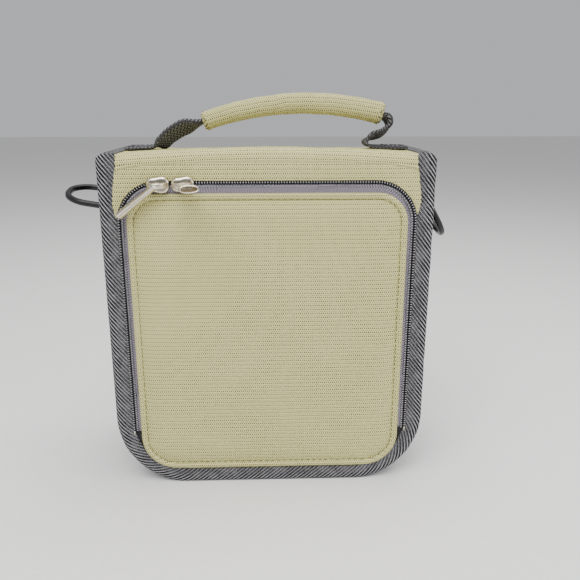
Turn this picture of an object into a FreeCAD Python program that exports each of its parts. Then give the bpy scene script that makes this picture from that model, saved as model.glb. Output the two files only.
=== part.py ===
import FreeCAD, Part
import Sketcher
import math
import os
import re
from FreeCAD import Placement, Rotation, Vector

# A compact padded camera bag that stands upright: +X right, -Y front, +Z up, in millimetres.
# Its origin is the middle of the base. The canvas wrap covers front frame, top and back, the
# gusset is the sides and bottom, and the front door opens on a zip and folds down at its foot.

SIZES = [
    # overall
    ("bag_wide", 160),         # over the bound side seams
    ("bag_deep", 70),          # front canvas face to back canvas face
    ("bag_tall", 174),         # base to the top canvas at its side edges
    ("crown_rise", 3),         # how far the top bows up in the middle
    ("foot_tuck", 3),          # how much tighter the gusset's corner is than the seam's
    ("foot_radius", 30),       # bottom corners of the bound seam
    ("gusset_inset", 6),       # seam edge to the gusset's outer face
    # sheet thicknesses
    ("canvas", 0.8),
    ("gusset_cloth", 0.8),
    ("tape", 0.5),
    ("binding_cloth", 0.8),
    ("binding_wide", 7.4),
    ("foam", 4),
    ("lining_cloth", 0.6),
    ("board", 1.6),
    ("webbing", 1.5),
    ("thread", 0.3),
    # zip
    ("zip_inset", 9),          # zip centre line from the bag's side
    ("zip_drop", 13.7),        # zip centre line below the top side edges
    ("zip_corner", 19),        # zip centre line's corner radius
    ("zip_low", 30.5),           # lower ends of the zip
    ("zip_gap", 0.55),         # centre line to the teeth of each row
    ("zip_tooth", 0.9),        # width of one row of teeth
    ("zip_tooth_deep", 1.1),
    ("tape_wide", 7),
    ("opening_gap", 0.25),     # frame teeth to the canvas edge
    # door
    ("door_inset", 2.9),       # door edge inside the zip centre line
    ("door_low", 8.3),
    ("door_drop", 4.3),        # door top below the zip centre line
    ("door_top_radius", 15),
    ("door_foot_radius", 18),
    ("hem_wide", 2.6),
    ("hem_deep", 1.4),
    ("pillow_rise", 1.6),      # padded field in front of the hem
    ("door_tape_lap", 4),
    # sliders and pulls
    ("slider_gap", 11.8),      # between the two parked sliders' middles
    ("slider_long", 10.8),
    ("slider_half", 4.4),
    ("slider_flat", 1),        # straight part of a slider's round ends
    ("lip_half", 2.4),
    ("slider_plate", 1.1),
    ("slider_clear", 0.5),
    ("post_wide", 0.6),
    ("post_long", 1.6),
    ("bridge_half", 3.7),
    ("bridge_rise", 5.4),
    ("bridge_thick", 0.8),
    ("bridge_wide", 2.4),
    ("pull_long", 24),
    ("pull_wide", 6.4),
    ("pull_leaf", 0.85),
    ("pull_split", 0.8),
    ("eye_half", 3.5),
    ("eye_radius", 1.8),
    ("eye_wall", 0.9),
    ("eye_wide", 1.8),
    ("eye_shift", 1.8),        # middle of the eye to the pivot
    ("pull_left_dip", 37.5),   # degrees below the zip line
    # handle
    ("grip_middle", 13),
    ("grip_chord", 92),
    ("grip_bow", 7),
    ("grip_rise", 16),         # chord between the grip's ends above the top side edges
    ("grip_slope", 2.5),       # degrees, right end higher
    ("grip_tall", 11),
    ("grip_deep", 13),
    ("strap_wide", 20),
    ("strap_folded", 8),
    ("strap_thick", 3),
    ("riser_lap", 2),          # webbing inside the grip's ends
    ("riser_tuck", 0.7),
    ("left_riser_run", 16),
    ("left_riser_fall", 6),
    ("bulge_inner", 3.2),      # the right riser's foot, beyond the grip's end
    ("bulge_foot", 6.4),
    ("bulge_outer", 9.5),
    ("bulge_shoulder", 6),
    ("bulge_neck", 5),
    ("bulge_fall", 10),
    ("bulge_outer_fall", 4),
    ("bulge_neck_fall", 3),
    ("bulge_shoulder_fall", 0.5),
    ("webbing_turn", 3),       # degrees of webbing past the grip's sweep
    ("core_turn", 4),          # degrees by which the core is shorter
    ("seam_turn", 8),          # degrees by which the seam is shorter
    ("seam_wide", 1.2),
    ("left_meet_out", 17.4),   # where each riser meets the tilt axis, beyond the grip's end
    ("right_meet_out", 2.9),
    ("left_rise_out", 3.2),    # its lower end and its fold, beyond that
    ("left_fold_out", 7.6),
    ("right_rise_in", 4.4),
    ("right_fold_in", 8.9),
    ("meet_below", 1.8),
    ("meet_above", 1.3),
    ("box_start", 0.25),       # the box stitch, as shares of the anchor's flat part
    ("box_end", 0.6),
    ("box_inset", 2),
    ("box_wide", 0.8),
    ("tilt_rise", 7.3),        # axis of the tilt above the top side edges
    # side rings
    ("ring_across", 28),
    ("ring_reach", 25),
    ("ring_bar", 3),
    ("ring_square", 1),        # straight part between the ring's round corners, halved
    ("ring_edge", 1.2),
    ("ring_out", 8.6),         # gusset face to the ring's bar
    ("ring_drop", 25),         # rings' bars below the top side edges
    ("ring_left_rise", 10),    # degrees
    ("ring_left_twist", 11),
    ("ring_right_drop", 60),
    ("tab_wide", 18),
    ("tab_hole", 2.2),
    ("tab_patch_tall", 20),
    ("tack_off", 7.6),         # a bar tack from the tab's middle
    ("tack_tall", 1),
    # inside
    ("mouth_back", 3.4),       # front canvas face to the front edge of foam and lining
    ("divider_share", 0.54),   # of the bag's height
    ("divider_thick", 6),
    ("hook_tape", 1),
    ("loop_wide", 25),
    # gaps
    ("slack", 0.15),
    ("play", 0.3),
    ("hair", 0.01),            # keeps two arcs from meeting in a point
]

# Lengths worked out from the driving sizes.
DERIVED = {
    "front": "(-bag_deep / 2)",
    "back": "(bag_deep / 2)",
    "half": "(bag_wide / 2)",
    "gusset_half": "(half - gusset_inset)",
    "gusset_radius": "(foot_radius - foot_tuck)",
    "inner_half": "(gusset_half - gusset_cloth)",
    "padded_half": "(inner_half - foam)",
    "clear_half": "(padded_half - lining_cloth)",
    "padded_top": "(bag_tall - canvas - foam)",
    "clear_top": "(padded_top - lining_cloth)",
    "padded_floor": "(gusset_cloth + foam)",
    "clear_floor": "(padded_floor + lining_cloth)",
    "board_top": "(clear_floor + board)",
    "tape_front": "(front + canvas)",
    "flange_front": "(tape_front + tape)",
    "slot_back": "(flange_front + gusset_cloth)",
    "mouth": "(front + mouth_back)",
    "bead_front": "(slot_back + gusset_cloth)",
    "padded_back": "(-(bead_front) - foam)",
    "clear_back": "(padded_back - lining_cloth)",
    "seam_in": "(half - binding_wide)",
    "zip_half": "(half - zip_inset)",
    "zip_top": "(bag_tall - zip_drop)",
    "door_half": "(zip_half - door_inset)",
    "door_high": "(zip_top - door_drop)",
    "slider_left_at": "(zip_corner - zip_half)",
    "slider_right_at": "(slider_left_at + slider_gap)",
    "grip_low": "(bag_tall + grip_rise)",
    "tilt_axis": "(bag_tall + tilt_rise)",
    "ring_high": "(bag_tall - ring_drop)",
    "divider_at": "(bag_tall * divider_share)",
    "left_meet": "(grip_chord / 2 - grip_middle + left_meet_out)",
    "left_rise": "(left_meet + left_rise_out)",
    "left_fold": "(left_meet + left_fold_out)",
    "right_meet": "(grip_chord / 2 + grip_middle + right_meet_out)",
    "right_rise": "(right_meet - right_rise_in)",
    "right_fold": "(right_meet - right_fold_in)",
    "top_bound": "(bag_tall + binding_cloth)",
    "hem_front": "(tape_front - hem_deep)",
    "pillow_front": "(hem_front - pillow_rise)",
    "plate_back": "(front - binding_cloth - play)",
    "plate_front": "(plate_back - slider_plate)",
    "pull_level": "(plate_front - bridge_rise + bridge_thick + play + eye_wide / 2)",
    "crown_middle": "(plate_front - bridge_rise + bridge_thick / 2)",
    "crown_radius": "((seam_in ^ 2 + crown_rise ^ 2) / (2 * crown_rise))",
    "divider_low": "(divider_at - divider_thick / 2)",
    "divider_high": "(divider_at + divider_thick / 2)",
    "hook_half": "(clear_half - 2 * hook_tape - slack)",
}

doc = FreeCAD.newDocument("camera_bag")
sheet = doc.addObject("Spreadsheet::Sheet", "Sizes")
for row, (alias, size) in enumerate(SIZES, start=1):
    sheet.set("A%d" % row, alias)
    sheet.set("B%d" % row, str(size))
    sheet.setAlias("B%d" % row, alias)
doc.recompute()
ALIASES = {alias for alias, _ in SIZES}


def bound(text):
    """The expression with each derived length spelled out in the sheet's aliases."""
    def swap(match):
        word = match.group()
        if word in DERIVED:
            return bound(DERIVED[word])
        return "Sizes." + word if word in ALIASES else word
    return re.sub(r"[a-z_]+", swap, str(text))


def number(text):
    value = sheet.evalExpression(bound(text))
    return float(getattr(value, "Value", value))


def body_named(name):
    body = doc.addObject("PartDesign::Body", name)
    body.Label = name
    return body


def sketch_on(body, role, offset):
    """A sketch on one of the body's origin planes, moved along the plane's normal."""
    sketch = body.newObject("Sketcher::SketchObject", body.Name + "_sketch")
    plane = [item for item in body.Origin.OriginFeatures if item.Role == role][0]
    sketch.AttachmentSupport = [(plane, "")]
    sketch.MapMode = "FlatFace"
    sketch.setExpression("AttachmentOffset.Base.z", bound(offset))
    return sketch


def rule(rules, *parts, text=None):
    """Note a constraint, and the expression that its size is bound to."""
    rules.append((Sketcher.Constraint(*parts), text))


def settle(sketch, rules):
    """Add the noted constraints together, then bind their sizes."""
    first = sketch.ConstraintCount
    sketch.addConstraint([constraint for constraint, _ in rules])
    for index, (_, text) in enumerate(rules, start=first):
        if text is not None:
            sketch.setExpression("Constraints[%d]" % index, bound(text))


def pin_down(rules, point, kind, text):
    """Bind one coordinate of a construction point, measured from the sketch's origin."""
    value = number(text)
    if abs(value) < 1e-9:
        rule(rules, "PointOnObject", point, 1, -2 if kind == "DistanceX" else -1)
    elif value > 0:
        rule(rules, kind, -1, 1, point, 1, value, text=text)
    else:
        rule(rules, kind, point, 1, -1, 1, -value, text="-(%s)" % text)


def bound_point(sketch, rules, across, up):
    point = sketch.addGeometry(Part.Point(Vector(number(across), number(up), 0)), True)
    pin_down(rules, point, "DistanceX", across)
    pin_down(rules, point, "DistanceY", up)
    return point


def upright_arc(start, via, end):
    """An arc whose circle faces +Z, and which of its ends, 1 or 2, lies at the start."""
    drawn = Part.Arc(start, via, end).toShape().Curve
    centre = drawn.Center
    angles = [math.atan2(spot.y - centre.y, spot.x - centre.x) for spot in (start, end)]
    forward = (via - start).cross(end - via).z > 0
    low, high = angles if forward else reversed(angles)
    circle = Part.Circle(centre, Vector(0, 0, 1), drawn.Radius)
    if high < low:
        high += 2 * math.pi
    return Part.ArcOfCircle(circle, low, high), 1 if forward else 2


def corner_arc(before, corner, after, radius):
    """The start, middle and end of the fillet at a corner."""
    into = (before - corner).normalize()
    out = (after - corner).normalize()
    half_turn = into.getAngle(out) / 2
    reach = radius / math.tan(half_turn)
    start = corner + into * reach
    end = corner + out * reach
    centre = corner + (into + out).normalize() * (radius / math.sin(half_turn))
    middle = centre + (corner - centre).normalize() * radius
    return start, middle, end


def draw(sketch, corners):
    """A closed outline. A corner is (across, up), with a radius third and, fourth, a point
    that the edge leaving that corner bows through."""
    spots = [Vector(number(c[0]), number(c[1]), 0) for c in corners]
    radii = [c[2] if len(c) > 2 else None for c in corners]
    bows = [c[3] if len(c) > 3 else None for c in corners]
    rules = []
    points = [bound_point(sketch, rules, c[0], c[1]) for c in corners]
    count = len(corners)
    arcs = {}
    for i in range(count):
        if radii[i] is not None:
            arcs[i] = corner_arc(spots[i - 1], spots[i], spots[(i + 1) % count],
                                 number(radii[i]))
    edges = []
    for i in range(count):
        j = (i + 1) % count
        start = arcs[i][2] if i in arcs else spots[i]
        end = arcs[j][0] if j in arcs else spots[j]
        ends = (1, 2)
        if bows[i] is None:
            edge = sketch.addGeometry(Part.LineSegment(start, end))
        else:
            via = Vector(number(bows[i][0]), number(bows[i][1]), 0)
            curve, first = upright_arc(start, via, end)
            edge = sketch.addGeometry(curve)
            ends = (first, 3 - first)
            through = bound_point(sketch, rules, bows[i][0], bows[i][1])
            rule(rules, "PointOnObject", through, 1, edge)
        edges.append((edge, ends))
        for corner, end_number in ((i, ends[0]), (j, ends[1])):
            if corner in arcs:
                rule(rules, "PointOnObject", points[corner], 1, edge)
            else:
                rule(rules, "Coincident", edge, end_number, points[corner], 1)
    for i, (start, middle, end) in arcs.items():
        curve, first = upright_arc(start, middle, end)
        arc = sketch.addGeometry(curve)
        before, before_ends = edges[i - 1]
        after, after_ends = edges[i]
        rule(rules, "Tangent", before, before_ends[1], arc, first)
        rule(rules, "Tangent", arc, 3 - first, after, after_ends[0])
        rule(rules, "Radius", arc, number(radii[i]), text=radii[i])
    settle(sketch, rules)


def extrude(body, role, outlines, low, high, cut=False):
    """Pad or pocket the outlines between two places along the sketch plane's own axis."""
    flip = role == "XZ_Plane"
    start = "-(%s)" % low if flip else low
    sketch = sketch_on(body, role, start)
    for outline in outlines:
        draw(sketch, outline)
    kind = "PartDesign::Pocket" if cut else "PartDesign::Pad"
    before = body.Shape.Volume if cut else 0
    feature = body.newObject(kind, body.Name + ("_cut" if cut else "_pad"))
    feature.Profile = sketch
    feature.setExpression("Length", bound("(%s) - (%s)" % (high, low)))
    feature.Reversed = flip != cut
    doc.recompute()
    if cut and before - body.Shape.Volume < 1e-3:
        raise RuntimeError(body.Name + " has a pocket that cuts nothing")
    return feature


def slab(name, outlines, low, high):
    body = body_named(name)
    extrude(body, "XZ_Plane", outlines, low, high)
    return body


def box_outline(left, low, right, high, radius=None):
    corners = [(left, low), (right, low), (right, high), (left, high)]
    return [corner + (radius,) for corner in corners] if radius else corners


def door_outline(inset):
    """The door's outline, moved in by a distance all round."""
    side = "door_half - (%s)" % inset
    low = "door_low + (%s)" % inset
    high = "door_high - (%s)" % inset
    foot = "door_foot_radius - (%s)" % inset
    top = "door_top_radius - (%s)" % inset
    return [("-(%s)" % side, low, foot), (side, low, foot), (side, high, top),
            ("-(%s)" % side, high, top)]


def zip_band(inner, outer):
    """The arch between two distances from the zip's centre line, + being outward."""
    def leg(offset):
        side = "zip_half + (%s)" % offset
        top = "zip_top + (%s)" % offset
        bend = "zip_corner + (%s)" % offset
        return side, top, bend
    side_out, top_out, bend_out = leg(outer)
    side_in, top_in, bend_in = leg(inner)
    return [("-(%s)" % side_out, "zip_low"), ("-(%s)" % side_out, top_out, bend_out),
            (side_out, top_out, bend_out), (side_out, "zip_low"), (side_in, "zip_low"),
            (side_in, top_in, bend_in), ("-(%s)" % side_in, top_in, bend_in),
            ("-(%s)" % side_in, "zip_low")]


def tub(side, low, radius, top):
    """A flat-topped outline with round bottom corners."""
    return [("-(%s)" % side, low, radius), (side, low, radius), (side, top),
            ("-(%s)" % side, top)]


def u_band(outer, inner, top):
    """A U between two tubs, each (side, low, radius), open at the top."""
    side, low, radius = outer
    side_in, low_in, radius_in = inner
    return [("-(%s)" % side, top), ("-(%s)" % side, low, radius), (side, low, radius),
            (side, top), (side_in, top), (side_in, low_in, radius_in),
            ("-(%s)" % side_in, low_in, radius_in), ("-(%s)" % side_in, top)]


def canvas_wrap():
    """Front frame, top and back in one piece of canvas, with the door's opening."""
    body = body_named("canvas_wrap")
    side = "half - binding_cloth"
    bend = "foot_radius - binding_cloth"
    crown = ("0", "bag_tall + crown_rise")
    shell = [("-(%s)" % side, "binding_cloth", bend), (side, "binding_cloth", bend),
             (side, "bag_tall"), ("seam_in", "bag_tall", None, crown),
             ("-seam_in", "bag_tall"), ("-(%s)" % side, "bag_tall")]
    extrude(body, "XZ_Plane", [shell], "front", "back")
    beyond = "half + canvas"
    under = ("0", "bag_tall + crown_rise - canvas")
    inside = [("-(%s)" % beyond, "-canvas"), (beyond, "-canvas"),
              (beyond, "bag_tall - canvas"), ("seam_in", "bag_tall - canvas", None, under),
              ("-seam_in", "bag_tall - canvas"), ("-(%s)" % beyond, "bag_tall - canvas")]
    extrude(body, "XZ_Plane", [inside], "tape_front", "back - canvas", cut=True)
    edge = "zip_gap + zip_tooth + opening_gap"
    opening = [("-(zip_half + %s)" % edge, "-canvas"),
               ("-(zip_half + %s)" % edge, "zip_top + %s" % edge, "zip_corner + %s" % edge),
               ("zip_half + %s" % edge, "zip_top + %s" % edge, "zip_corner + %s" % edge),
               ("zip_half + %s" % edge, "-canvas")]
    extrude(body, "XZ_Plane", [opening], "front - canvas", "tape_front", cut=True)
    return body


def gusset():
    """Sides and bottom in one black strip, with the flanges that the seams take up and the
    bead where each flange turns out."""
    body = body_named("gusset")
    wall = u_band(("gusset_half", "0", "gusset_radius"),
                  ("inner_half", "gusset_cloth", "gusset_radius - gusset_cloth"),
                  "bag_tall - canvas")
    extrude(body, "XZ_Plane", [wall], "slot_back", "-(slot_back)")
    flange = u_band(("half - binding_cloth", "binding_cloth", "foot_radius - binding_cloth"),
                    ("seam_in", "binding_wide", "foot_radius - binding_wide"),
                    "bag_tall - canvas")
    extrude(body, "XZ_Plane", [flange], "flange_front", "slot_back")
    extrude(body, "XZ_Plane", [flange], "-(slot_back)", "back - canvas")
    bead = u_band(("inner_half", "gusset_cloth", "gusset_radius - gusset_cloth"),
                  ("inner_half - gusset_cloth", "2 * gusset_cloth",
                   "gusset_radius - 2 * gusset_cloth"), "bag_tall - canvas")
    extrude(body, "XZ_Plane", [bead], "slot_back", "bead_front")
    extrude(body, "XZ_Plane", [bead], "-(bead_front)", "-(slot_back)")
    for turn in ("-1", "1"):
        shelf = box_outline("%s * (gusset_half - gusset_cloth / 2)" % turn,
                            "bag_tall - canvas - gusset_cloth",
                            "%s * (half - binding_cloth)" % turn, "bag_tall - canvas")
        extrude(body, "XZ_Plane", [shelf], "slot_back", "-(slot_back)")
    return body


def seam_binding(name, turned):
    """The twill tape folded over a U seam: face, edge and the fold behind the flange."""
    body = body_named(name)
    depths = [("front - binding_cloth", "front"), ("front", "slot_back"),
              ("slot_back", "slot_back + binding_cloth")]
    if turned:
        depths = [("back", "back + binding_cloth"), ("-(slot_back)", "back"),
                  ("-(slot_back) - binding_cloth", "-(slot_back)")]
    outer = ("half", "0", "foot_radius")
    inner = [("seam_in", "binding_wide", "foot_radius - binding_wide"),
             ("half - binding_cloth", "binding_cloth", "foot_radius - binding_cloth"),
             ("gusset_half", "-2 * gusset_cloth", "gusset_radius")]
    for (low, high), hollow in zip(depths[:2], inner[:2]):
        extrude(body, "XZ_Plane", [u_band(outer, hollow, "top_bound")], low, high)
    for turn in ("-1", "1"):
        leg = box_outline("%s * gusset_half" % turn, "foot_radius", "%s * half" % turn,
                          "bag_tall - canvas - gusset_cloth - binding_cloth")
        extrude(body, "XZ_Plane", [leg], *depths[2])
    return body


def top_binding(name, turn):
    """The same tape across the end of the top, from the front seam to the back seam."""
    body = body_named(name)
    inner_end = "slot_back + binding_cloth"
    outer_end = "-(slot_back) - binding_cloth"

    def place(length):
        return "%s * (%s)" % (turn, length)

    layers = [("seam_in", "bag_tall", "half", "top_bound"),
              ("half - binding_cloth", "bag_tall - canvas - gusset_cloth", "half", "bag_tall"),
              ("gusset_half", "bag_tall - canvas - gusset_cloth - binding_cloth", "half",
               "bag_tall - canvas - gusset_cloth")]
    for left, low, right, high in layers:
        extrude(body, "XZ_Plane", [box_outline(place(left), low, place(right), high)],
                inner_end, outer_end)
    return body


def padding():
    """Foam boards behind the gusset, the back and the top."""
    outer = ("inner_half", "gusset_cloth", "gusset_radius - gusset_cloth")
    inner = ("padded_half", "padded_floor", "gusset_radius - gusset_cloth - foam")
    sides = slab("foam_gusset", [u_band(outer, inner, "padded_top")], "mouth", "padded_back")
    back = slab("foam_back", [tub(outer[0], outer[1], outer[2], "padded_top")],
                "padded_back", "-(bead_front)")
    crown = ("0", "bag_tall + crown_rise - canvas")
    cap = [("-inner_half", "padded_top"), ("inner_half", "padded_top"),
           ("inner_half", "bag_tall - canvas"),
           ("seam_in", "bag_tall - canvas", None, crown),
           ("-seam_in", "bag_tall - canvas"), ("-inner_half", "bag_tall - canvas")]
    top = slab("foam_top", [cap], "mouth", "-(bead_front)")
    return sides, back, top


def lining():
    """The tub of lining cloth, open at the door."""
    body = body_named("lining")
    outer_bend = "gusset_radius - gusset_cloth - foam"
    extrude(body, "XZ_Plane", [tub("padded_half", "padded_floor", outer_bend, "padded_top")],
            "mouth", "padded_back")
    extrude(body, "XZ_Plane",
            [tub("clear_half", "clear_floor", outer_bend + " - lining_cloth", "clear_top")],
            "mouth", "clear_back", cut=True)
    return body


def inside():
    """Base board, divider and its hook and loop strips."""
    flat_half = "gusset_half - gusset_radius"
    rim = "mouth + 2 * play"
    slab("base_board", [box_outline("-(%s)" % flat_half, "clear_floor", flat_half, "board_top")],
         rim, "clear_back - slack")
    slab("divider", [box_outline("-(hook_half)", "divider_low", "hook_half", "divider_high")],
         rim, "clear_back - slack")
    strips = body_named("divider_hook_strips")
    loops = body_named("lining_loop_strips")
    for turn in ("-1", "1"):
        hook = box_outline("%s * hook_half" % turn, "divider_low - divider_thick",
                           "%s * (hook_half + hook_tape)" % turn,
                           "divider_high + divider_thick")
        extrude(strips, "XZ_Plane", [hook], "-loop_wide / 2", "loop_wide / 2")
        loop = box_outline("%s * (clear_half - hook_tape)" % turn, "gusset_radius",
                           "%s * clear_half" % turn, "clear_top - foam")
        extrude(loops, "XZ_Plane", [loop], "-loop_wide / 2", "loop_wide / 2")


def hinge_flap():
    """The canvas edge below the door, caught in the bottom seam, that the door folds on."""
    flat_half = "half - foot_radius"
    return slab("hinge_flap", [box_outline("-(%s)" % flat_half, "binding_cloth + slack",
                                           flat_half, "door_low - play - slack")],
                "front", "tape_front")


def zip_parts():
    """Both tapes, both rows of teeth, and the stops at the zip's ends."""
    far_row = "zip_gap + zip_tooth"
    slab("zip_tape_frame", [zip_band("zip_gap", "tape_wide")], "tape_front", "flange_front")
    slab("zip_coil_frame", [zip_band("zip_gap", far_row)],
         "tape_front - zip_tooth_deep", "tape_front")
    slab("zip_tape_door", [zip_band("door_half - zip_half - door_tape_lap", "-zip_gap")],
         "tape_front", "flange_front")
    slab("zip_coil_door", [zip_band("-(%s)" % far_row, "-zip_gap")],
         "tape_front - zip_tooth_deep", "tape_front")
    stops = body_named("zip_stops")
    for turn in ("-1", "1"):
        stop = box_outline("%s * (zip_half + zip_gap)" % turn, "zip_low - 2 * zip_tooth_deep",
                           "%s * (zip_half + %s)" % (turn, far_row), "zip_low")
        extrude(stops, "XZ_Plane", [stop], "tape_front - zip_tooth_deep", "flange_front")


def door():
    """Canvas hem and padded field, the foam inside, the lining behind, and the topstitch."""
    panel = body_named("door_panel")
    extrude(panel, "XZ_Plane", [door_outline("0")], "hem_front", "tape_front")
    extrude(panel, "XZ_Plane", [door_outline("hem_wide")], "pillow_front", "hem_front")
    extrude(panel, "XZ_Plane", [door_outline("hem_wide + canvas")], "pillow_front + canvas",
            "tape_front", cut=True)
    foam = body_named("door_foam")
    back = "mouth - lining_cloth"
    extrude(foam, "XZ_Plane", [door_outline("hem_wide + canvas")], "pillow_front + canvas",
            "tape_front")
    extrude(foam, "XZ_Plane", [door_outline("door_tape_lap + 3 * lining_cloth")],
            "tape_front", back)
    cover = body_named("door_lining")
    extrude(cover, "XZ_Plane", [door_outline("door_tape_lap - lining_cloth")],
            "flange_front", "mouth")
    extrude(cover, "XZ_Plane", [door_outline("door_tape_lap + 3 * lining_cloth")],
            "flange_front", back, cut=True)
    slab("door_topstitch", [door_outline("hem_wide - 1.5 * thread - play"),
                            door_outline("hem_wide - play")],
         "hem_front - thread", "hem_front")


def slider(side):
    """Front plate, lip, post and the door-side back plate, and the bridge over them."""
    body = body_named("slider_%s_body" % side)
    at = "slider_%s_at" % side
    reach = "slider_long / 2"
    plate = box_outline("-(%s)" % reach, "-slider_half", reach, "slider_half",
                        "slider_half - slider_flat")
    extrude(body, "XZ_Plane", [plate], "plate_front", "plate_back")
    lip = box_outline("-lip_half", "-(zip_gap + zip_tooth + 2 * slider_clear)",
                      "lip_half", "-(zip_gap + zip_tooth + slider_clear)")
    extrude(body, "XZ_Plane", [lip], "plate_back", "tape_front - play")
    post = box_outline("-post_long / 2", "-post_wide / 2", "post_long / 2", "post_wide / 2")
    extrude(body, "XZ_Plane", [post], "plate_back", "mouth - 2 * play")
    rear = box_outline("-(%s - 2 * play - slider_flat)" % reach, "-(slider_half - 2 * slider_clear)",
                       "%s - 2 * play - slider_flat" % reach, "post_wide / 2")
    extrude(body, "XZ_Plane", [rear], "flange_front + play + slack", "mouth - 2 * play")
    bridge = body_named("slider_%s_bridge" % side)
    crown = "-bridge_rise"
    inner_crown = "-(bridge_rise - bridge_thick)"
    leg_in = "bridge_half - bridge_thick"
    arch = [("-bridge_half", "0"), ("-bridge_half", crown, "2 * bridge_thick"),
            ("bridge_half", crown, "2 * bridge_thick"), ("bridge_half", "0")]
    hollow = [("-(%s)" % leg_in, "bridge_thick"), ("-(%s)" % leg_in, inner_crown, "bridge_thick / 2"),
              (leg_in, inner_crown, "bridge_thick / 2"), (leg_in, "bridge_thick")]
    extrude(bridge, "XY_Plane", [arch], "-bridge_wide / 2", "bridge_wide / 2")
    extrude(bridge, "XY_Plane", [hollow], "-bridge_wide / 2", "bridge_wide / 2", cut=True)
    bridge.setExpression("Placement.Base.y", bound("plate_front"))
    for piece in (body, bridge):
        piece.setExpression("Placement.Base.x", bound(at))
        piece.setExpression("Placement.Base.z", bound("zip_top"))


def pull(side, turn, pivot, eye_shift):
    """A strip folded round the bridge: an eye at the fold and two leaves to the tip.
    Drawn along +X from the middle of its eye, then turned and put at its pivot."""
    body = body_named("pull_%s" % side)
    outer = "eye_radius + eye_wall"
    ring = box_outline("-(eye_half + eye_wall)", "-(%s)" % outer, "eye_half + eye_wall", outer,
                       outer + " - hair")
    hole = box_outline("-eye_half", "-eye_radius", "eye_half", "eye_radius",
                       "eye_radius - hair")
    extrude(body, "XZ_Plane", [ring, hole], "-eye_wide / 2", "eye_wide / 2")
    tip = "pull_long - eye_half - eye_wall"
    half = "pull_split / 2 + pull_leaf"
    stem = box_outline("-(pull_wide / 2)", "-(%s)" % half, "pull_wide / 2", half, "pull_leaf")
    extrude(body, "YZ_Plane", [stem], "eye_half + eye_wall / 2", tip)
    split = box_outline("eye_half + 3 * eye_wall", "-pull_split / 2", tip + " + eye_wall",
                        "pull_split / 2")
    extrude(body, "XZ_Plane", [split], "-pull_wide", "pull_wide", cut=True)
    body.Placement = Placement(pivot + turn.multVec(Vector(eye_shift, 0, 0)), turn)
    return body


def handle():
    """Webbing risers, the strip through the grip, its core and its canvas cover."""
    bow = number("grip_bow")
    chord = number("grip_chord")
    bend = (chord ** 2 / 4 + bow ** 2) / (2 * bow)
    sweep = 2 * math.degrees(math.asin(chord / 2 / bend))
    bend_text = "((grip_chord ^ 2 / 4 + grip_bow ^ 2) / (2 * grip_bow))"
    place = Placement(Vector(number("grip_middle"), 0, number("grip_low + grip_bow")),
                      Rotation(Vector(0, 1, 0), -number("grip_slope")))

    def revolve(body, outlines, angle):
        sketch = sketch_on(body, "YZ_Plane", "0")
        for outline in outlines:
            draw(sketch, outline)
        axis = sketch.addGeometry(Part.LineSegment(Vector(-1, -bend, 0), Vector(1, -bend, 0)),
                                  True)
        rules = []
        for tip, across in ((1, "-1"), (2, "1")):
            mark = bound_point(sketch, rules, across, "-" + bend_text)
            rule(rules, "Coincident", axis, tip, mark, 1)
        settle(sketch, rules)
        turn = body.newObject("PartDesign::Revolution", body.Name + "_turn")
        turn.Profile = sketch
        turn.ReferenceAxis = (sketch, ["Axis0"])
        turn.Angle = angle
        turn.Midplane = True
        doc.recompute()

    strap = box_outline("-strap_folded / 2", "-strap_thick / 2", "strap_folded / 2",
                        "strap_thick / 2")
    core_half = "(grip_deep / 2 - canvas)"
    core_up = "(grip_tall / 2 - canvas)"
    core_line = box_outline("-" + core_half, "-" + core_up, core_half, core_up,
                            core_up + " - canvas / 2")
    cover_line = box_outline("-grip_deep / 2", "-grip_tall / 2", "grip_deep / 2",
                             "grip_tall / 2", "grip_tall / 2 - canvas / 2")
    webbing = body_named("handle_webbing")
    revolve(webbing, [strap], sweep + number("webbing_turn"))
    revolve(body_named("grip_core"), [core_line, strap], sweep - number("core_turn"))
    revolve(body_named("grip_cover"), [cover_line, core_line], sweep)
    half = "strap_thick / 2"
    drop = "(grip_bow + (%s))" % half
    end = "grip_chord / 2"
    left = [("-(%s) - left_riser_run" % end, "-grip_bow - left_riser_fall - (%s)" % half),
            ("-(%s) + riser_lap" % end, "-grip_bow + riser_tuck - (%s)" % half),
            ("-(%s) + riser_lap / 2" % end, "-grip_bow + riser_tuck + (%s)" % half),
            ("-(%s) - left_riser_run" % end, "-grip_bow - left_riser_fall + (%s)" % half)]
    extrude(webbing, "XZ_Plane", [left], "-strap_folded / 2", "strap_folded / 2")
    right = [("%s - riser_lap" % end, "-grip_bow + riser_tuck - (%s)" % half),
             ("%s + bulge_neck" % end, "-grip_bow - bulge_neck_fall - (%s)" % half),
             ("%s + bulge_inner" % end, "-%s - bulge_fall" % drop),
             ("%s + bulge_foot" % end, "-%s - bulge_fall" % drop),
             ("%s + bulge_outer" % end, "-grip_bow - bulge_outer_fall"),
             ("%s + bulge_shoulder" % end, "-grip_bow - bulge_shoulder_fall + (%s)" % half),
             ("%s - riser_lap / 2" % end, "-grip_bow + riser_tuck + (%s)" % half)]
    extrude(webbing, "XZ_Plane", [right], "-strap_folded / 2", "strap_folded / 2")
    stitch = body_named("grip_stitching")
    tall = "(grip_tall / 2 + 5 * hair)"
    thread_line = box_outline("-seam_wide / 2", tall, "seam_wide / 2", tall + " + thread")
    revolve(stitch, [thread_line], sweep - number("seam_turn"))
    for name in ("handle_webbing", "grip_core", "grip_cover", "grip_stitching"):
        doc.getObject(name).Placement = place


def crown_at(across):
    """Height of the bowed top at a distance from the middle."""
    return "(bag_tall + crown_rise - crown_radius + sqrt(crown_radius ^ 2 - (%s) ^ 2))" % across


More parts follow.
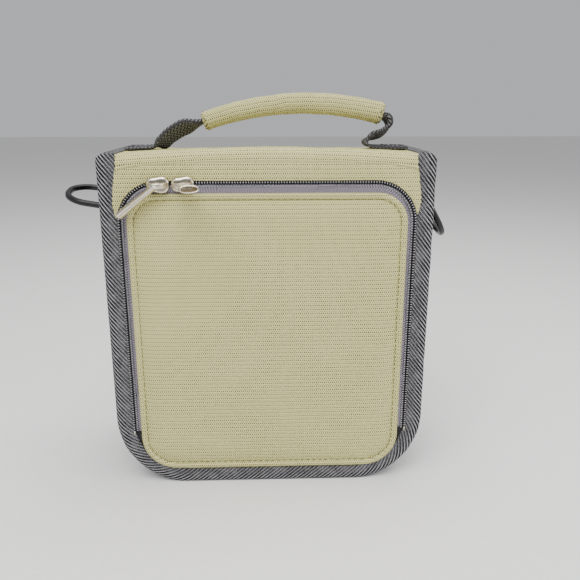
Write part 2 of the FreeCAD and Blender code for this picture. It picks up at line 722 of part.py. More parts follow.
def handle_anchors():
    """Webbing sewn flat on the top, its folded riser as far as the tilt axis, and stitches."""
    lift = "slack"
    spans = {"left": ("-seam_in + play", "-left_fold", "-left_rise", "-left_meet"),
             "right": ("seam_in - play", "right_fold", "right_rise", "right_meet")}
    threads = body_named("anchor_stitching")
    for side, (seam, fold, out, meet) in spans.items():
        body = body_named("handle_anchor_%s" % side)
        flat = [(seam, crown_at(seam) + " + " + lift), (fold, crown_at(fold) + " + " + lift),
                (fold, crown_at(fold) + " + webbing + " + lift),
                (seam, crown_at(seam) + " + webbing + " + lift)]
        extrude(body, "XZ_Plane", [flat], "-strap_wide / 2", "strap_wide / 2")
        base = crown_at(fold) + " + " + lift
        riser = [(fold, base), (out, base + " + webbing / 3"),
                 (meet, "tilt_axis - meet_below"), (meet, "tilt_axis + meet_above"),
                 (fold, base + " + webbing")]
        extrude(body, "XZ_Plane", [riser], "-strap_folded / 2", "strap_folded / 2")
        mid = "((%s) * (1 - box_start) + (%s) * box_start)" % (seam, fold)
        near = "((%s) * (1 - box_end) + (%s) * box_end)" % (seam, fold)
        top = " + webbing + 2 * " + lift
        stripe = [(mid, crown_at(mid) + top), (near, crown_at(near) + top),
                  (near, crown_at(near) + top + " + thread"),
                  (mid, crown_at(mid) + top + " + thread")]
        for low in ("-strap_wide / 2 + box_inset", "strap_wide / 2 - box_inset - box_wide"):
            extrude(threads, "XZ_Plane", [stripe], low, low + " + box_wide")


def side_rings():
    """Plastic D-rings, the webbing tabs that hold their bars, and the tabs' bar tacks."""
    tacks = body_named("tab_bartacks")
    for side, turn in (("left", -1), ("right", 1)):
        centre = Vector(turn * number("gusset_half + ring_out"), 0, number("ring_high"))
        ring = body_named("ring_%s" % side)
        half_bar = "ring_bar / 2"
        wide = "ring_across / 2"
        outer = [("-(%s)" % half_bar, "-(%s)" % wide, "2 * ring_bar / 3"),
                 ("ring_reach - %s" % half_bar, "-(%s)" % wide, "%s - ring_square" % wide),
                 ("ring_reach - %s" % half_bar, wide, "%s - ring_square" % wide),
                 ("-(%s)" % half_bar, wide, "2 * ring_bar / 3")]
        hole = [(half_bar, "-(%s) + ring_bar" % wide),
                ("ring_reach - 3 * (%s)" % half_bar, "-(%s) + ring_bar" % wide,
                 "%s - ring_square - ring_bar" % wide),
                ("ring_reach - 3 * (%s)" % half_bar, "%s - ring_bar" % wide,
                 "%s - ring_square - ring_bar" % wide),
                (half_bar, "%s - ring_bar" % wide)]
        extrude(ring, "XY_Plane", [outer, hole], "-(%s)" % half_bar, half_bar)
        soften = ring.newObject("PartDesign::Fillet", ring.Name + "_round")
        flat = [i + 1 for i, edge in enumerate(ring.Shape.Edges)
                if edge.BoundBox.ZLength < number("hair")]
        soften.Base = (ring.Tip if ring.Tip != soften else ring.Group[-2],
                       ["Edge%d" % i for i in flat])
        soften.setExpression("Radius", bound("ring_edge"))
        if side == "left":
            twist = Rotation(Vector(1, 0, 0), number("ring_left_twist"))
            lay = Rotation(Vector(0, 1, 0), number("ring_left_rise"))
            spin = twist.multiply(lay).multiply(Rotation(Vector(0, 0, 1), 180))
        else:
            twist = Rotation()
            spin = Rotation(Vector(0, 1, 0), number("ring_right_drop"))
        ring.Placement = Placement(centre, spin)
        tab = body_named("ring_tab_%s" % side)
        loop = "tab_hole + webbing"
        sketch = sketch_on(tab, "XZ_Plane", "-tab_wide / 2")
        rules = []
        for size in (loop, "tab_hole"):
            circle = sketch.addGeometry(Part.Circle(Vector(), Vector(0, 0, 1), number(size)))
            rule(rules, "Coincident", circle, 3, -1, 1)
            rule(rules, "Radius", circle, number(size), text=size)
        settle(sketch, rules)
        pad = tab.newObject("PartDesign::Pad", tab.Name + "_loop")
        pad.Profile = sketch
        pad.setExpression("Length", bound("tab_wide"))
        doc.recompute()
        sign = "-1" if turn > 0 else "1"
        start = "%s * (tab_hole + webbing / 2)" % sign
        neck = box_outline(start, "-webbing", "%s * (ring_out - webbing / 2)" % sign, "webbing")
        extrude(tab, "XZ_Plane", [neck], "-tab_wide / 2", "tab_wide / 2")
        patch = box_outline("%s * (ring_out - webbing)" % sign, "-tab_patch_tall / 2",
                            "%s * ring_out" % sign, "tab_patch_tall / 2")
        extrude(tab, "XZ_Plane", [patch], "-tab_wide / 2", "tab_wide / 2")
        tab.Placement = Placement(centre, twist)
        for level in (-1, 1):
            out = "%d * (gusset_half + webbing)" % turn
            low = "ring_high + %d * tack_off - tack_tall / 2" % level
            bar = box_outline(out, low, "%s + %d * thread" % (out, turn), low + " + tack_tall")
            extrude(tacks, "XZ_Plane", [bar], "-tab_wide / 3", "tab_wide / 3")


canvas_wrap()
gusset()
seam_binding("front_binding", False)
seam_binding("back_binding", True)
top_binding("top_binding_left", "-1")
top_binding("top_binding_right", "1")
padding()
lining()
inside()
hinge_flap()
zip_parts()
door()
for side in ("left", "right"):
    slider(side)
dip = number("pull_left_dip")
pull_at = number("bridge_half - bridge_thick / 2")
pull("left", Rotation(Vector(0, 1, 0), 180 - dip),
     Vector(number("slider_left_at") - pull_at, number("pull_level"), number("zip_top")),
     -number("eye_shift"))
pull("right", Rotation(Vector(0, 0, 1), -90),
     Vector(number("slider_right_at"), number("crown_middle"), number("zip_top")),
     number("eye_shift"))
handle()
handle_anchors()
side_rings()

doc.recompute()
bad = [item.Name for item in doc.Objects if {"Invalid", "Error"} & set(item.State)]
if bad:
    raise RuntimeError("failed objects: " + ", ".join(bad))
os.makedirs("parts", exist_ok=True)
bodies = [item for item in doc.Objects if item.TypeId == "PartDesign::Body"]
for body in bodies:
    if body.Shape.isNull() or not body.Shape.isValid():
        raise RuntimeError(body.Label + " has no valid shape")
for body in bodies:
    body.Shape.exportStep("parts/%s.step" % body.Label)
    print(body.Label, len(body.Shape.Solids), round(body.Shape.Volume, 1))
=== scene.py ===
"""The camera bag's visible pieces and finishes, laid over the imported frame.

Lengths are millimetres until a mesh is made. X is right, -Y is the front, Z is up.
"""
import math

import bmesh
import bpy
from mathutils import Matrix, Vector, noise


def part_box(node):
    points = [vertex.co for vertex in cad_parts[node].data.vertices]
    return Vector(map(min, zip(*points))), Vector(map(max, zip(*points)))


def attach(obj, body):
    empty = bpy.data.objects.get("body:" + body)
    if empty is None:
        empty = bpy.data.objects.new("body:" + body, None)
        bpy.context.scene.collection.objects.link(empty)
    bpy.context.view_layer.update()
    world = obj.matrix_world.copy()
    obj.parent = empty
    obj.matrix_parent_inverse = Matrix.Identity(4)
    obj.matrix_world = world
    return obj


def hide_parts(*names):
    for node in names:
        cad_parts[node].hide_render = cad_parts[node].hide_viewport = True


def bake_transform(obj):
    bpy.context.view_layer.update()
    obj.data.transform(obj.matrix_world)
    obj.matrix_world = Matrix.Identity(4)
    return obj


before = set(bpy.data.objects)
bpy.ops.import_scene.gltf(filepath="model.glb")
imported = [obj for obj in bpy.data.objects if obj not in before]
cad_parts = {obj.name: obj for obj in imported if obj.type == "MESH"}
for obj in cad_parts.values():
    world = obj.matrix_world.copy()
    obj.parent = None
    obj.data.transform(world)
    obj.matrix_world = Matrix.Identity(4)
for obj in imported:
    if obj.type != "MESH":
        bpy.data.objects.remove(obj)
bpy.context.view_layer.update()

MM = 0.001
TAU = 2 * math.pi


def reach(node):
    """A node's lowest and highest corners in millimetres."""
    low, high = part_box(node)
    return low / MM, high / MM


# ---- sizes read from the frame, and radii and gaps that its boxes do not show ----

WRAP_LOW, WRAP_HIGH = reach("canvas_wrap")
FRONT, BACK = WRAP_LOW.y, WRAP_HIGH.y
CROWN = WRAP_HIGH.z
BOUND_HIGH = reach("front_binding")[1]
EDGE = BOUND_HIGH.x                       # half width over the bindings
SHOULDER = BOUND_HIGH.z                   # height of the top side edges
TOP_BOUND = reach("top_binding_right")[0]
SEAM = TOP_BOUND.x                        # half width inside the bindings
BINDING_WIDE = EDGE - SEAM
BINDING_PROUD = 0.8                       # how far the tape stands past the seam allowance
SHOULDER_TURN = 3.6                       # radius of the bindings' upper corners
FOOT = 30.0                               # radius of the seam's lower corners
CROWN_RISE = CROWN - SHOULDER + 0.8
TOP_SAG = 3.6                             # how far the top's rear middle has sunk
FOLD = 4.5                                # radius of the canvas fold along the top
GUSSET_HALF = reach("ring_tab_right")[0].x
COIL_LOW, COIL_HIGH = reach("zip_coil_frame")
ZIP_HALF = (COIL_HIGH.x + reach("zip_coil_door")[1].x) / 2 - 0.45
ZIP_TOP = (COIL_HIGH.z + reach("zip_coil_door")[1].z) / 2 - 0.45
ZIP_LOW = COIL_LOW.z
ZIP_TURN = 19.0                           # radius of the zip's upper corners
TAPE_FRONT = COIL_HIGH.y
TEETH_AT = TAPE_FRONT - 0.55              # the teeth's middle
TEETH_PITCH = 1.3
TOOTH = (0.62, 1.75, 1.0)                 # a tooth along the zip, across it and outwards
DOOR_LOW, DOOR_HIGH = reach("door_panel")
DOOR_TURN = 15.0
DOOR_FOOT = 18.0
DOOR_HEM = 2.9                            # width of the door's flat hem
STITCH_LINE = 3.1                         # the topstitches' distance from the door's edge
LINING_LOW, LINING_HIGH = reach("lining")
CANVAS_THICK = 0.8
PULL_LONG = 24.0
STRAP_WIDE, STRAP_THICK = 16.0, 1.7       # webbing of the handle and the ring tabs
GRIP_LONG, GRIP_BOW = 92.0, 7.0           # the grip's chord and how far it bows up
GRIP_SLOPE = math.radians(2.5)            # its right end stands higher
TILT_AT = 181.3                           # height of the handle's tilt axis


# ---- meshes ----

def piece(name, points, faces, finish, uvs=None, smooth=True):
    """An object at the origin from points in millimetres, with its own UV map in metres."""
    mesh = bpy.data.meshes.new(name)
    mesh.from_pydata([Vector(p) * MM for p in points], [], faces)
    if uvs is not None:
        layer = mesh.uv_layers.new(name="UVMap")
        for loop in mesh.loops:
            across, along = uvs[loop.vertex_index]
            layer.data[loop.index].uv = (across * MM, along * MM)
    mesh.polygons.foreach_set("use_smooth", [smooth] * len(mesh.polygons))
    mesh.materials.append(finish)
    thing = bpy.data.objects.new(name, mesh)
    bpy.context.scene.collection.objects.link(thing)
    return thing


def finished(thing):
    """The object with its modifiers made part of its mesh."""
    bpy.context.view_layer.update()
    graph = bpy.context.evaluated_depsgraph_get()
    baked = bpy.data.meshes.new_from_object(thing.evaluated_get(graph))
    thing.modifiers.clear()
    thing.data = baked
    return thing


def walled(thing, thick, offset=-1):
    """The sheet with a second side, inside it or, at offset 0, half to each side."""
    wall = thing.modifiers.new("wall", "SOLIDIFY")
    wall.thickness = thick * MM
    wall.offset = offset
    return finished(thing)


def outward(thing):
    """Faces turned outwards, after doubled points are merged."""
    shell = bmesh.new()
    shell.from_mesh(thing.data)
    bmesh.ops.remove_doubles(shell, verts=shell.verts, dist=1e-6)
    bmesh.ops.recalc_face_normals(shell, faces=shell.faces)
    shell.to_mesh(thing.data)
    shell.free()
    return thing


def fitted(thing, body, slot, *nodes):
    """The piece rides on its body and stands for its nodes; slot is not used."""
    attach(thing, body)
    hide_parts(*nodes)
    return thing


def runs(row):
    """How far along a line of points each point lies."""
    far = [0.0]
    for before, after in zip(row, row[1:]):
        far.append(far[-1] + (Vector(after) - Vector(before)).length)
    return far


def unrolled(rows):
    """For rows of points, how far each lies along its row and along its column."""
    middle = len(rows[0]) // 2
    along = runs([row[middle] for row in rows])
    return [(across, far) for row, far in zip(rows, along) for across in runs(row)]


def grid(name, rows, finish, thick=0.0, marks=None, closed=False, caps=False):
    """A sheet through rows of points, or a tube through closed rings of them."""
    wide = len(rows[0])
    points = [p for row in rows for p in row]
    faces = []
    for r in range(len(rows) - 1):
        for c in range(wide if closed else wide - 1):
            right = (c + 1) % wide
            faces.append((r * wide + c, r * wide + right,
                          (r + 1) * wide + right, (r + 1) * wide + c))
    if caps:
        faces.append(tuple(range(wide - 1, -1, -1)))
        last = (len(rows) - 1) * wide
        faces.append(tuple(range(last, last + wide)))
    thing = piece(name, points, faces, finish, marks or unrolled(rows))
    return walled(thing, thick) if thick else thing


def sweep(name, path, outline, finish, scale=None, across=Vector((0, 1, 0)), caps=True):
    """An outline carried along a path; across is the outline's first direction, or gives it
    for each share of the way."""
    rows = []
    for index, point in enumerate(path):
        before = Vector(path[max(index - 1, 0)])
        after = Vector(path[min(index + 1, len(path) - 1)])
        ahead = (after - before).normalized()
        share = index / (len(path) - 1)
        level = across(share) if callable(across) else across
        side = (level - ahead * level.dot(ahead)).normalized()
        rise = ahead.cross(side)
        wide, tall = scale(share) if scale else (1, 1)
        rows.append([Vector(point) + side * (a * wide) + rise * (b * tall) for a, b in outline])
    return outward(grid(name, rows, finish, closed=True, caps=caps))


def smooth_path(knots, count):
    """Points on one smooth curve through the knots."""
    knots = [Vector(k) for k in knots]
    padded_knots = [2 * knots[0] - knots[1]] + knots + [2 * knots[-1] - knots[-2]]
    points = []
    spans = len(knots) - 1
    for step in range(count + 1):
        place = step / count * spans
        span = min(int(place), spans - 1)
        t = place - span
        a, b, c, d = padded_knots[span:span + 4]
        points.append(0.5 * (2 * b + (c - a) * t + (2 * a - 5 * b + 4 * c - d) * t * t
                             + (3 * b - a - 3 * c + d) * t ** 3))
    return points


def rounded(wide, tall, radius, steps=4):
    """A rounded box outline round the origin, anticlockwise."""
    outline = []
    for turn, (sx, sy) in enumerate(((1, 1), (-1, 1), (-1, -1), (1, -1))):
        for step in range(steps + 1):
            angle = (turn + step / steps) * math.pi / 2
            outline.append((sx * (wide / 2 - radius) + radius * math.cos(angle),
                            sy * (tall / 2 - radius) + radius * math.sin(angle)))
    return outline


def wander(point, size, seed=0.0):
    """Slow unevenness of hand-sewn cloth, the same on every run."""
    place = Vector(point) / size + Vector((seed, seed * 1.7, -seed))
    return noise.noise(place)


def fold_up(t):
    """0 to 1 with flat ends."""
    t = min(max(t, 0.0), 1.0)
    return t * t * (3 - 2 * t)


# ---- outlines in the bag's face ----

def arch(offset, low=ZIP_LOW, step=1.5, start=0.0):
    """The zip's line in X and Z, up the left leg and down the right; offset moves it outwards."""
    half, top, turn = ZIP_HALF + offset, ZIP_TOP + offset, ZIP_TURN + offset
    leg = top - turn - low
    bend = turn * math.pi / 2
    across = 2 * (half - turn)
    whole = 2 * leg + 2 * bend + across
    count = max(2, round(whole / step))
    points = []
    for index in range(count + 1):
        far = min(start + whole * index / count, whole)
        if far < leg:
            points.append((-half, low + far))
        elif far < leg + bend:
            angle = (far - leg) / turn
            points.append((-half + turn - turn * math.cos(angle),
                           top - turn + turn * math.sin(angle)))
        elif far < leg + bend + across:
            points.append((-half + turn + far - leg - bend, top))
        elif far < leg + 2 * bend + across:
            angle = (far - leg - bend - across) / turn
            points.append((half - turn + turn * math.sin(angle),
                           top - turn + turn * math.cos(angle)))
        else:
            points.append((half, low + whole - far))
    return points


def seam_u(offset, top, step=1.6, foot=FOOT):
    """The seam's U in X and Z with its outward direction, from the left top to the right top."""
    half, turn = SEAM + offset, foot + offset
    low = BINDING_WIDE - offset
    leg = top - low - turn
    bend = turn * math.pi / 2
    across = 2 * (half - turn)
    whole = 2 * leg + 2 * bend + across
    count = round((2 * top + 2 * SEAM) / step)
    points = []
    for index in range(count + 1):
        far = whole * index / count
        if far < leg:
            points.append((-half, top - far, -1, 0))
        elif far < leg + bend:
            angle = (far - leg) / turn
            points.append((-half + turn - turn * math.cos(angle),
                           low + turn - turn * math.sin(angle),
                           -math.cos(angle), -math.sin(angle)))
        elif far < leg + bend + across:
            points.append((-half + turn + far - leg - bend, low, 0, -1))
        elif far < leg + 2 * bend + across:
            angle = (far - leg - bend - across) / turn
            points.append((half - turn + turn * math.sin(angle),
                           low + turn - turn * math.cos(angle),
                           math.sin(angle), -math.cos(angle)))
        else:
            points.append((half, top - whole + far, 1, 0))
    return points


def door_ring(inset, count=420):
    """The door's outline, inset; past the corner radius it shrinks towards the middle."""
    left, right = DOOR_LOW.x + inset, DOOR_HIGH.x - inset
    low, high = DOOR_LOW.z + inset, DOOR_HIGH.z - inset
    top_turn = max(DOOR_TURN - inset, 0.6)
    foot_turn = max(DOOR_FOOT - inset, 0.6)
    corners = ((right - foot_turn, low + foot_turn, foot_turn, -math.pi / 2),
               (right - top_turn, high - top_turn, top_turn, 0.0),
               (left + top_turn, high - top_turn, top_turn, math.pi / 2),
               (left + foot_turn, low + foot_turn, foot_turn, math.pi))
    path = []
    for x, z, turn, begin in corners:
        for step in range(13):
            angle = begin + step / 12 * math.pi / 2
            path.append(Vector((x + turn * math.cos(angle), z + turn * math.sin(angle))))
    path.append(path[0])
    lengths = [0.0]
    for before, after in zip(path, path[1:]):
        lengths.append(lengths[-1] + (after - before).length)
    ring = []
    span = 0
    for index in range(count):
        far = lengths[-1] * index / count
        while lengths[span + 1] < far:
            span += 1
        share = (far - lengths[span]) / max(lengths[span + 1] - lengths[span], 1e-9)
        ring.append(path[span].lerp(path[span + 1], share))
    return ring


# ---- finishes ----

def shade(red, green, blue):
    """A linear colour from 0..255 display values."""
    return tuple(((v / 255 + 0.055) / 1.055) ** 2.4 if v > 10 else v / 255 / 12.92
                 for v in (red, green, blue)) + (1.0,)


class Field:
    """A value on its way through a finish, with arithmetic."""

    def __init__(self, finish, socket):
        self.finish = finish
        self.socket = socket

    def calc(self, operation, *values):
        inputs = dict(enumerate((self,) + values))
        return self.finish.node("Math", {"operation": operation}, inputs)

    def __add__(self, other):
        return self.calc("ADD", other)

    __radd__ = __add__

    def __sub__(self, other):
        return self.calc("SUBTRACT", other)

    def __rsub__(self, other):
        return (self * -1) + other

    def __mul__(self, other):
        return self.calc("MULTIPLY", other)

    __rmul__ = __mul__

    def sin(self):
        return self.calc("SINE")

    def abs(self):
        return self.calc("ABSOLUTE")

    def fract(self):
        return self.calc("FRACT")

    def between(self, low, high):
        """0 below low, 1 above high, smooth between."""
        return self.finish.node("MapRange", {"interpolation_type": "SMOOTHSTEP"},
                                {0: self, 1: low, 2: high, 3: 0.0, 4: 1.0})


class Finish:
    """One material, built from expressions."""

    def __init__(self, name, **fixed):
        self.material = bpy.data.materials.new(name)
        self.material.use_nodes = True
        self.tree = self.material.node_tree
        self.shader = self.tree.nodes["Principled BSDF"]
        for key, value in fixed.items():
            self.shader.inputs[key.replace("_", " ").title()
                               .replace("Ior", "IOR")].default_value = value

    def feed(self, socket, value):
        if isinstance(value, Field):
            self.tree.links.new(value.socket, socket)
        else:
            socket.default_value = value

    def node(self, kind, settings=None, inputs=None, output=0):
        made = self.tree.nodes.new("ShaderNode" + kind)
        for key, value in (settings or {}).items():
            setattr(made, key, value)
        for key, value in (inputs or {}).items():
            self.feed(made.inputs[key], value)
        return Field(self, made.outputs[output])

    def cloth(self):
        """The piece's own UV map as two lengths in metres."""
        mark = self.node("UVMap", {"uv_map": "UVMap"})
        return (self.node("SeparateXYZ", None, {0: mark}, 0),
                self.node("SeparateXYZ", None, {0: mark}, 1))

    def place(self):
        """Object coordinates."""
        return self.node("TexCoord", None, None, "Object")

    def spot(self, axis):
        return self.node("SeparateXYZ", None, {0: self.place()}, axis)

    def join(self, x, y, z=0.0):
        return self.node("CombineXYZ", None, {0: x, 1: y, 2: z})

    def cloud(self, size, detail=3.0, where=None, rough=0.5, stretch=(1, 1, 1)):
        """Noise from 0 to 1 whose blobs are about size metres."""
        place = where or self.place()
        place = self.node("Mapping", None, {"Vector": place, "Scale": stretch})
        return self.node("TexNoise", None, {"Vector": place, "Scale": 1 / size,
                                            "Detail": detail, "Roughness": rough})

    def mix(self, first, second, factor):
        return self.node("Mix", {"data_type": "RGBA", "clamp_factor": True},
                         {0: factor, 6: first, 7: second}, 2)

    def wear(self, colour, rough, height, depth, strength=1.0):
        """Colour, roughness and a bump of the given depth in metres."""
        self.feed(self.shader.inputs["Base Color"], colour)
        self.feed(self.shader.inputs["Roughness"], rough)
        bump = self.node("Bump", None, {"Strength": strength, "Distance": depth,
                                        "Height": height})
        self.feed(self.shader.inputs["Normal"], bump)
        return self.material


def weave(finish, pitch):
    """A plain weave: 1 on the yarns' crowns, 0 in the holes between them; and its coordinates."""
    across, along = finish.cloth()
    drift = finish.cloud(0.03, 2.0) * (0.5 * pitch)
    across = across + drift
    along = along + drift * 0.6
    wave = (across * (TAU / pitch)).sin() * (along * (TAU / pitch / 2)).sin()
    return wave * 0.5 + 0.5, across, along


def canvas_finish(name, light=1.0):
    """Washed olive canvas: pale yarns, dark holes in rows, slubs and fading."""
    cloth = Finish(name, Specular_Ior_Level=0.12)
    pitch = 0.00105
    crown, across, along = weave(cloth, pitch)
    flat = cloth.join(across, along)
    slub = cloth.cloud(0.0011, 2.0, flat, stretch=(0.25, 1.6, 1))
    speck = cloth.cloud(0.0007, 2.0, flat, 0.7)
    faded = cloth.cloud(0.035, 3.0)
    rows = (along * (TAU / (2 * pitch))).sin() * 0.5 + 0.5
    tone = crown * 1.2 + slub * 0.3 + speck * 0.25 + rows * 0.3 - 0.5
    yarn = cloth.mix(shade(34 * light, 30 * light, 6 * light),
                     shade(222 * light, 216 * light, 152 * light), tone.between(-0.03, 0.56))
    colour = cloth.mix(yarn, shade(216 * light, 208 * light, 150 * light),
                       (faded - 0.47) * 0.9)
    return cloth.wear(colour, 0.84 + speck * 0.14, crown * 0.9 + rows * 0.3, 0.0006)


def binding_finish():
    """Charcoal twill tape with bold slanting ribs, made paler towards its outer edge by a painted
    highlight.
    """
    tape = Finish("charcoal_twill", Specular_Ior_Level=0.3)
    across, along = tape.cloth()
    flat = tape.join(across, along)
    ragged = tape.cloud(0.0016, 2.0, flat) * 0.0005
    rib = ((along * 0.66 + across * 0.82 + ragged) * (TAU / 0.0016)).sin() * 0.5 + 0.5
    fine = ((along * 0.9 - across * 0.8) * (TAU / 0.0009)).sin() * 0.5 + 0.5
    speck = tape.cloud(0.0006, 2.0, flat, 0.7)
    patch = tape.cloud(0.006, 2.0, flat).between(0.35, 0.7)
    # Painted highlight: past 3.5 mm across, the ribs turn paler towards the turned outer edge,
    # where light falls.
    wear_and_edge_highlight = across.between(0.0035, 0.007)
    bold = rib.between(0.42, 1.0) * (0.22 + fine * 0.5 + speck * 0.55)
    plain = fine * 0.2 + speck.between(0.42, 0.7) * 0.45
    tone = plain + (bold - plain) * (0.4 + wear_and_edge_highlight * 0.6) + patch * 0.12
    colour = tape.mix(shade(6, 6, 8), shade(222, 220, 226), tone * 0.66 - 0.05)
    return tape.wear(colour, 0.66 + speck * 0.25, rib * 0.8 + fine * 0.3, 0.0006)


def black_cloth_finish(name, pitch, low, high):
    """Black packcloth with a fine square weave and lint."""
    cloth = Finish(name, Specular_Ior_Level=0.35)
    crown, across, along = weave(cloth, pitch)
    flat = cloth.join(across, along)
    lint = cloth.cloud(0.0012, 3.0, flat, 0.7).between(0.56, 0.75)
    patch = cloth.cloud(0.02, 2.0)
    colour = cloth.mix(shade(low, low, low + 2), shade(high, high, high + 3),
                       crown * 0.55 + lint * 0.35 + (patch - 0.5) * 0.3)
    return cloth.wear(colour, 0.7 + lint * 0.2, crown + lint * 0.3, 0.00018)


def webbing_finish():
    """Black webbing: thick cross ribs with a painted highlight in grey on their crowns, flecked
    at random.
    """
    strap = Finish("black_webbing", Specular_Ior_Level=0.45)
    across, along = strap.cloth()
    flat = strap.join(across, along)
    speck = strap.cloud(0.0009, 2.0, flat, 0.7)
    chevron = ((across * (1 / 0.0042)).fract() - 0.5).abs() * 0.0036
    rib = ((along + chevron) * (TAU / 0.0019)).sin() * 0.5 + 0.5
    yarn = (across * (TAU / 0.0011)).sin() * 0.5 + 0.5
    # Painted highlight: the ribs' crowns turn grey.
    tone = rib.between(0.2, 0.9) * (0.3 + speck * 0.8) + yarn * 0.12
    colour = strap.mix(shade(14, 14, 16), shade(150, 149, 153), tone * 0.6)
    return strap.wear(colour, 0.6 + speck * 0.3, rib + yarn * 0.35, 0.0006)


def tape_finish():
    """Grey zip tape, a fine herringbone with a violet cast, and a painted shade along one edge.
    """
    tape = Finish("zip_tape_grey", Specular_Ior_Level=0.4)
    across, along = tape.cloth()
    flat = tape.join(across, along)
    speck = tape.cloud(0.0005, 2.0, flat, 0.8)
    zig = ((across * (1 / 0.0036)).fract() - 0.5).abs() * 0.0036
    rib = ((along + zig) * (TAU / 0.0013)).sin() * 0.5 + 0.5
    colour = tape.mix(shade(26, 24, 30), shade(196, 187, 202), rib * 0.55 + speck * 1.1 - 0.45)
    # Painted shade: the tape darkens within about 2 mm of the edge where its across mark starts.
    shaded = tape.mix(shade(18, 17, 20), colour, across.abs().between(0.0014, 0.0024))
    return tape.wear(shaded, 0.7 + speck * 0.2, rib + speck * 0.5, 0.0002)


def nylon_finish():
    """Glossy dark nylon of the zip's coil, with a painted highlight on each tooth's forward
    crest.
    """
    nylon = Finish("zip_nylon", Coat_Weight=0.6)
    speck = nylon.cloud(0.0008, 2.0)
    crest = (TEETH_AT - 0.38) * MM
    # Painted highlight: the front 0.12 mm of each tooth turns near white.
    rubbing_and_crest_highlight = (crest - nylon.spot(1)).between(0.0, 0.00012)
    colour = nylon.mix(shade(6, 6, 8), shade(236, 234, 240), rubbing_and_crest_highlight * 0.85 + speck * 0.06)
    return nylon.wear(colour, 0.22 + speck * 0.2, speck, 0.00005)


def nickel_finish(name, light):
    """Warm nickel plate, polished by handling, with hairlines and dull patches."""
    metal = Finish(name, Metallic=1.0)
    patch = metal.cloud(0.004, 3.0)
    hair = metal.cloud(0.0006, 2.0, stretch=(0.15, 1, 1), rough=0.7)
    wear_and_edge_highlight = metal.cloud(0.0015, 3.0).between(0.55, 0.7)
    bright = metal.mix(shade(240 * light, 234 * light, 220 * light),
                       shade(214 * light, 200 * light, 176 * light), patch)
    colour = metal.mix(bright, shade(150 * light, 132 * light, 104 * light), wear_and_edge_highlight * 0.45)
    return metal.wear(colour, 0.2 + patch * 0.16 + wear_and_edge_highlight * 0.18, hair * 0.6 + patch, 0.00004)


def plastic_finish():
    """Satin black moulded plastic, faintly grained and rubbed."""
    ring = Finish("black_plastic", Specular_Ior_Level=0.35)
    grain = ring.cloud(0.0005, 2.0, rough=0.7)
    rubbing_and_crest_highlight = ring.cloud(0.006, 3.0).between(0.5, 0.75)
    colour = ring.mix(shade(10, 10, 11), shade(34, 34, 37), rubbing_and_crest_highlight * 0.6 + grain * 0.2)
    return ring.wear(colour, 0.34 + rubbing_and_crest_highlight * 0.2, grain, 0.00006)


def thread_finish(name, dark, pale):
    """Spun sewing thread."""
    thread = Finish(name, Specular_Ior_Level=0.4)
    twist = ((thread.spot(0) + thread.spot(2) + thread.spot(1)) * (TAU / 0.0006)).sin()
    fuzz = thread.cloud(0.0006, 2.0)
    colour = thread.mix(dark, pale, twist * 0.3 + fuzz * 0.8)
    return thread.wear(colour, 0.6 + fuzz * 0.3, twist * 0.5 + fuzz, 0.0001)


def foam_finish():
    """Grey closed-cell foam."""
    foam = Finish("grey_foam")
    cell = foam.node("TexVoronoi", None, {"Vector": foam.place(), "Scale": 1400.0})
    patch = foam.cloud(0.01, 2.0)
    colour = foam.mix(shade(58, 58, 60), shade(104, 104, 108), patch * 0.6 + cell * 0.4)
    return foam.wear(colour, 0.85 + patch * 0.1, cell, 0.0003)


def board_finish():
    """Stiff board under a dark cover."""
    board = Finish("base_board_cover")
    grain = board.cloud(0.0008, 3.0, rough=0.7)
    patch = board.cloud(0.015, 2.0)
    colour = board.mix(shade(30, 30, 32), shade(66, 66, 70), grain * 0.6 + patch * 0.3)
    return board.wear(colour, 0.72 + grain * 0.2, grain, 0.0002)


def pile_finish():
    """Hook-and-loop pile."""
    pile = Finish("hook_loop_pile")
    loop = pile.node("TexVoronoi", None, {"Vector": pile.place(), "Scale": 1100.0})
    fuzz = pile.cloud(0.0009, 3.0, rough=0.8)
    colour = pile.mix(shade(16, 16, 18), shade(84, 84, 88), fuzz * 0.7 + loop * 0.3)
    return pile.wear(colour, 0.88 + fuzz * 0.1, loop + fuzz, 0.0005)


CANVAS = canvas_finish("olive_canvas")
GRIP_CANVAS = canvas_finish("olive_canvas_grip", 0.96)
TWILL = binding_finish()
BLACK = black_cloth_finish("black_packcloth", 0.0007, 22, 74)
LINING = black_cloth_finish("black_lining", 0.0011, 18, 60)
WEBBING = webbing_finish()
TAPE = tape_finish()
NYLON = nylon_finish()
NICKEL = nickel_finish("warm_nickel", 1.0)
# A darker copy of the nickel for the middle of each slider plate under its bridge: painted shade.
NICKEL_PAINTED_SHADE = nickel_finish("nickel_painted_shade", 0.62)
PLASTIC = plastic_finish()
OLIVE_THREAD = thread_finish("olive_thread", shade(74, 66, 30), shade(142, 132, 84))
BLACK_THREAD = thread_finish("black_thread", shade(18, 18, 20), shade(84, 84, 88))
FOAM = foam_finish()
BOARD = board_finish()
PILE = pile_finish()


# ---- rows of beads: teeth and stitches ----

